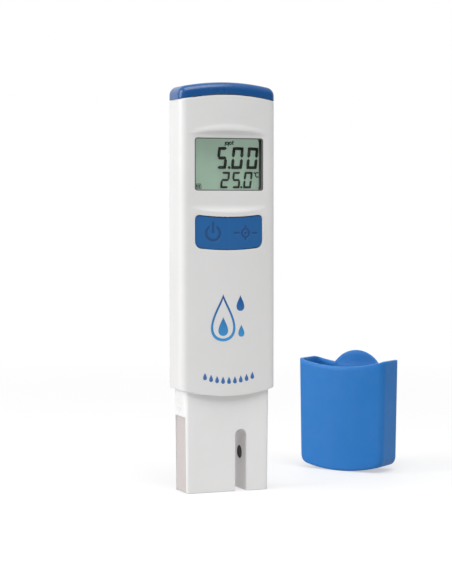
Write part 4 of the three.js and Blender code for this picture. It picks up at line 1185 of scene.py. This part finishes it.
# One closed surface, row by row: the arched foot from its middle out, a fillet, the outer wall, over the
# rim, down the inner wall, and across the floor to its middle.
def makeProtectiveCap():
    p = capShell
    side, face, foot = p["sideEdge"], p["faceEdge"], arch(0, p["footRadius"], -1)
    turns = np.radians(np.linspace(0, 90, 8))
    base, inner = capPlan(0), capRing(side, face)
    rim, low = rimHeight(base[:, 0], base[:, 1])
    edge = face + (side - face) * np.clip((np.abs(base[:, 0]) - p["edgeStart"]) / p["edgeRun"], 0, 1) ** 2
    grid = [atHeightOf(inner * share, foot) for share in np.linspace(0, 1, 13)[:-1]]
    start, full = foot(inner[:, 0]), foot(base[:, 0])
    for a in turns:
        z = start + (full + edge - start) * (1 - math.cos(a))
        grid.append(np.column_stack([capRing(side * (1 - math.sin(a)), face * (1 - math.sin(a))), z]))
    start, e = full + edge, p["rimEdge"]
    grid += [np.column_stack([base, start + (rim - e - start) * t]) for t in np.linspace(0, 1, 25)[1:]]
    thick = p["wall"] + (p["tabWall"] - p["wall"]) * smoothStep(rim - low, 0.2, 1.6)
    insideRing = capPlan(p["wall"])
    inside = base + (insideRing - base) * (thick / p["wall"])[:, None]
    grid += [np.column_stack([base + (inside - base) * (1 - np.cos(a)) / 2, rim - e + e * np.sin(a)])
             for a in np.radians(np.linspace(0, 180, 9))[1:-1]]
    floor = np.full(len(base), p["floor"])
    stop = floor + p["floorEdge"]
    for t in np.linspace(0, 1, 25)[:-1]:
        z = rim - e + (stop - rim + e) * t
        share = smoothStep(low - 1 - z, -1.5, 1.5)[:, None]
        grid.append(np.column_stack([inside * (1 - share) + insideRing * share, z]))
    grid += [np.column_stack([capPlan(p["wall"] + p["floorEdge"] * (1 - math.cos(a))),
                              stop - p["floorEdge"] * math.sin(a)]) for a in turns]
    last = capPlan(p["wall"] + p["floorEdge"])
    grid = np.stack(grid + [np.column_stack([last * share, floor]) for share in np.linspace(1, 0, 9)[1:]])
    grid[..., 0] *= p["narrow"] + p["draft"] * grid[..., 2]
    turn = math.radians(p["turn"])
    spin = np.array([[math.cos(turn), math.sin(turn), 0], [-math.sin(turn), math.cos(turn), 0], [0, 0, 1]])
    return weave("protectiveCap", [(grid @ spin + (p["x"], p["y"], 0), False, True)], "blueCap")


place(makeProtectiveCap(), "cap", "cap_blue", "protective_cap", angle=45)
print("protective cap made")

batteryDoor = dict(z=82, radius=14, front=7.2, edge=0.4, slotHalf=6.5, slotWidth=1.8, slotDepth=0.8,
                   skirt=11.5, skirtInner=10.6, skirtFront=4.8, hub=4, hubSink=1.82, lugs=(15, 135, 255),
                   lugTurn=30, lug=[(11.2, 4.8), (13.0, 4.8), (13.0, 5.6), (11.2, 5.6)], dimpleCircle=11.4,
                   dimples=6, dimple=[(-0.25, 0), (-0.25, 0.5), (-0.05, 0.62), (0.5, 0.75), (0.5, 0)])


# A round door with a skirt, three bayonet lugs, a coin slot and a circle of dimples.
def makeBatteryDoor():
    p, top, front = batteryDoor, body["back"], batteryDoor["front"]
    sunk = front - p["hubSink"]
    profile = [(sunk, 0), (sunk, p["hub"]), (front, p["hub"]), (front, p["skirtInner"]),
               (p["skirtFront"], p["skirtInner"]), (p["skirtFront"], p["skirt"]), (front, p["skirt"]),
               (front, p["radius"]), (top, p["radius"]), (top, 0)]
    piece = turned("batteryDoor", easeProfile(profile, p["edge"], 5), (0, 0, p["z"]), "y", "whiteCase", 128)
    w, d = p["slotHalf"], p["slotWidth"] / 2
    loops = [(0, top - p["slotDepth"]), (0, top - 0.2), (0.06, top - 0.09), (0.2, top), (0.2, top + 1)]
    cuts = [stacked("coinSlot", [atDepth(slab(w, d, d, -grow, 10, (0, p["z"])), y) for grow, y in loops],
                    "whiteCase")]
    for a in np.radians(np.arange(p["dimples"]) * 360 / p["dimples"]):
        centre = (math.sin(a) * p["dimpleCircle"], 0, p["z"] + math.cos(a) * p["dimpleCircle"])
        cuts.append(turned("dimple", [(top + y, r) for y, r in p["dimple"]], centre, "y", "whiteCase", 24))
    carve(piece, *cuts)
    lugs = []
    for start in p["lugs"]:
        turn = np.radians(np.linspace(start, start + p["lugTurn"], 9))
        sheets = np.stack([np.stack([r * np.cos(turn), np.full(9, y), p["z"] + r * np.sin(turn)], -1)
                           for r, y in p["lug"]])
        ends = np.broadcast_to(sheets.mean(0), sheets.shape)
        grid = np.concatenate([ends[:, :1], sheets, ends[:, -1:]], 1)
        lugs.append(weave("lug", [(grid, True, False)], "whiteCase"))
    return joined(piece, lugs)


place(makeBatteryDoor(), "battery_hatch", "case_white", "battery_door", angle=30, weigh=True)
caseScrew = dict(tip=-2.5, threadStart=-1.7, threadEnd=6.6, threadRadius=1.0, threadDepth=0.11, pitch=0.9,
                 point=0.25, relief=0.95, cross=1.35, crossWidth=0.5, crossDepth=0.55, top=8.2,
                 crossTaper=[(0.72, -0.55), (1.0, 0.02), (1.08, 0.8)],
                 head=[(7.1, 1.9), (7.2, 2.05), (7.55, 2.05), (7.8, 1.93), (8.02, 1.6), (8.15, 1.0), (8.2, 0.4),
                       (8.2, 0)])


# A pan head on a threaded shank: the thread is a wave along the profile. The cross is two tapering slots.
def makeCaseScrew(index, x, z):
    p = caseScrew
    along = np.linspace(p["threadStart"], p["threadEnd"], 57)
    thread = p["threadRadius"] + p["threadDepth"] * np.cos(2 * math.pi * (along - along[0]) / p["pitch"])
    profile = [(p["tip"], 0), (p["tip"] + 0.1, p["point"]), *zip(along, thread), (6.75, p["relief"]),
               (p["head"][0][0], p["relief"]), *p["head"]]
    piece = turned(f"caseScrew{index}", profile, (x, 0, z), "y", "screwSteel", 48)
    half = p["crossWidth"] / 2
    return carve(piece, *[stacked("slotCut", [atDepth(slab(wide * s, tall * s, 0.05, 0, 2, (x, z)), p["top"] + y)
                                              for s, y in p["crossTaper"]], "screwSteel")
                          for wide, tall in ((p["cross"], half), (half, p["cross"]))])


for index, (x, z) in enumerate(rearCover["screws"], 1):
    place(makeCaseScrew(index, x, z), "case", "steel", f"case_screw_{index}", angle=35)
print("battery door and screws made")

# Finishes of the parts that the CAD model already shapes.
carried = dict(
    whiteInner=["lcd_holder", "battery_cup"], sageFilm=["lcd_reflector"], boardGreen=["circuit_board"],
    blackRubber=["case_gasket", "battery_door_seal", "probe_seal", "power_plunger", "calibrate_plunger"],
    blackFoam=["window_gasket", "zebra_strip"], lcdGlass=["lcd_front_glass", "lcd_rear_glass"],
    chipBlack=["processor_chip", "amplifier_chip", "memory_chip", "power_switch", "calibrate_switch",
               "probe_clip"],
    cellSteel=["coin_cell", "crystal"], tanCeramic=["capacitor_1", "capacitor_2"],
    screwSteel=["board_screw_1", "board_screw_2"], blueFlange=["keypad_flange"],
    springGold=["positive_contact", "negative_contact"], redWire=["electrode_lead_right"],
    blackWire=["electrode_lead_left", "temperature_lead"])
for finish, names in carried.items():
    for name in names:
        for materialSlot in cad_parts[name].material_slots:
            materialSlot.material = finishes[finish]
print(sum(len(names) for names in carried.values()), "carried parts finished")

# Each lamp is (name, place, aim, size, watts), in metres.
studio = dict(rings=(0, 0.3, 1, 6.0), floorTone=0.86, world=1.0, glow=0.5, bounce=0.35, horizon=0.2,
              zenith=0.7, backdrop=0.85,
              lamps=[("key", (-0.9, -0.02, 0.45), (0, 0, 0.08), (0.6, 0.6), 5.6),
                     ("top", (-0.05, -0.47, 1.0), (0, 0, 0.06), (0.8, 0.8), 7.3)])


# A flat round floor. Far out it glows like the room, so that it has no edge against the background.
def makeFloor():
    finishes["paleFloor"], tree, shader, where = newFinish("paleFloor")
    far = vector(tree, "LENGTH", where, (0, 0, 0))["Value"]
    feed(tree, shader, {"Base Color": (studio["floorTone"],) * 3 + (1,),
                        "Roughness": span(tree, noise(tree, where, 60.0, 3), 0.3, 0.7, 0.55, 0.62)})
    seen = add(tree, "LightPath").outputs["Is Camera Ray"]
    glow = add(tree, "Emission", None, Color=white,
               Strength=span(tree, seen, 0, 1, studio["bounce"], studio["world"]))
    mixShaders(tree, span(tree, far, 0.12, 0.6, studio["glow"], 1.0), shader, glow)
    t = np.linspace(0, 2 * math.pi, 96, endpoint=False)
    rings = np.stack([np.stack([r * np.cos(t), r * np.sin(t), 0 * t], -1) / mm for r in studio["rings"]])
    weave("floor", [(rings, False, True)], "paleFloor", outward=False)


def addLamp(name, spot, aim, size, watts):
    lamp = bpy.data.lights.new(name, "AREA")
    lamp.shape, lamp.size, lamp.size_y, lamp.energy = "RECTANGLE", *size, watts
    stand = added(name, lamp)
    stand.location = spot
    stand.rotation_euler = Vector(np.subtract(aim, spot)).to_track_quat("-Z", "Y").to_euler()


# A white room: it shows white, and lights the object from above and from the backdrop behind it.
def makeRoom():
    room = bpy.data.worlds.new("room")
    room.use_nodes = True
    tree = room.node_tree
    toward = add(tree, "SeparateXYZ", None, i0=add(tree, "TexCoord").outputs["Generated"]).outputs
    sky = calc(tree, "MAXIMUM", span(tree, toward[2], 0.15, 0.75, studio["horizon"], studio["zenith"]),
               span(tree, toward[1], -0.1, 0.6, studio["horizon"], studio["backdrop"]))
    seen = add(tree, "LightPath").outputs["Is Camera Ray"]
    feed(tree, tree.nodes["Background"], dict(Color=white, Strength=span(tree, seen, 0, 1, sky,
                                                                         studio["world"])))
    bpy.context.scene.world = room


makeFloor()
for lamp in studio["lamps"]:
    addLamp(*lamp)
makeRoom()
bpy.context.scene.view_settings.view_transform = "Standard"
print("floor and light set")
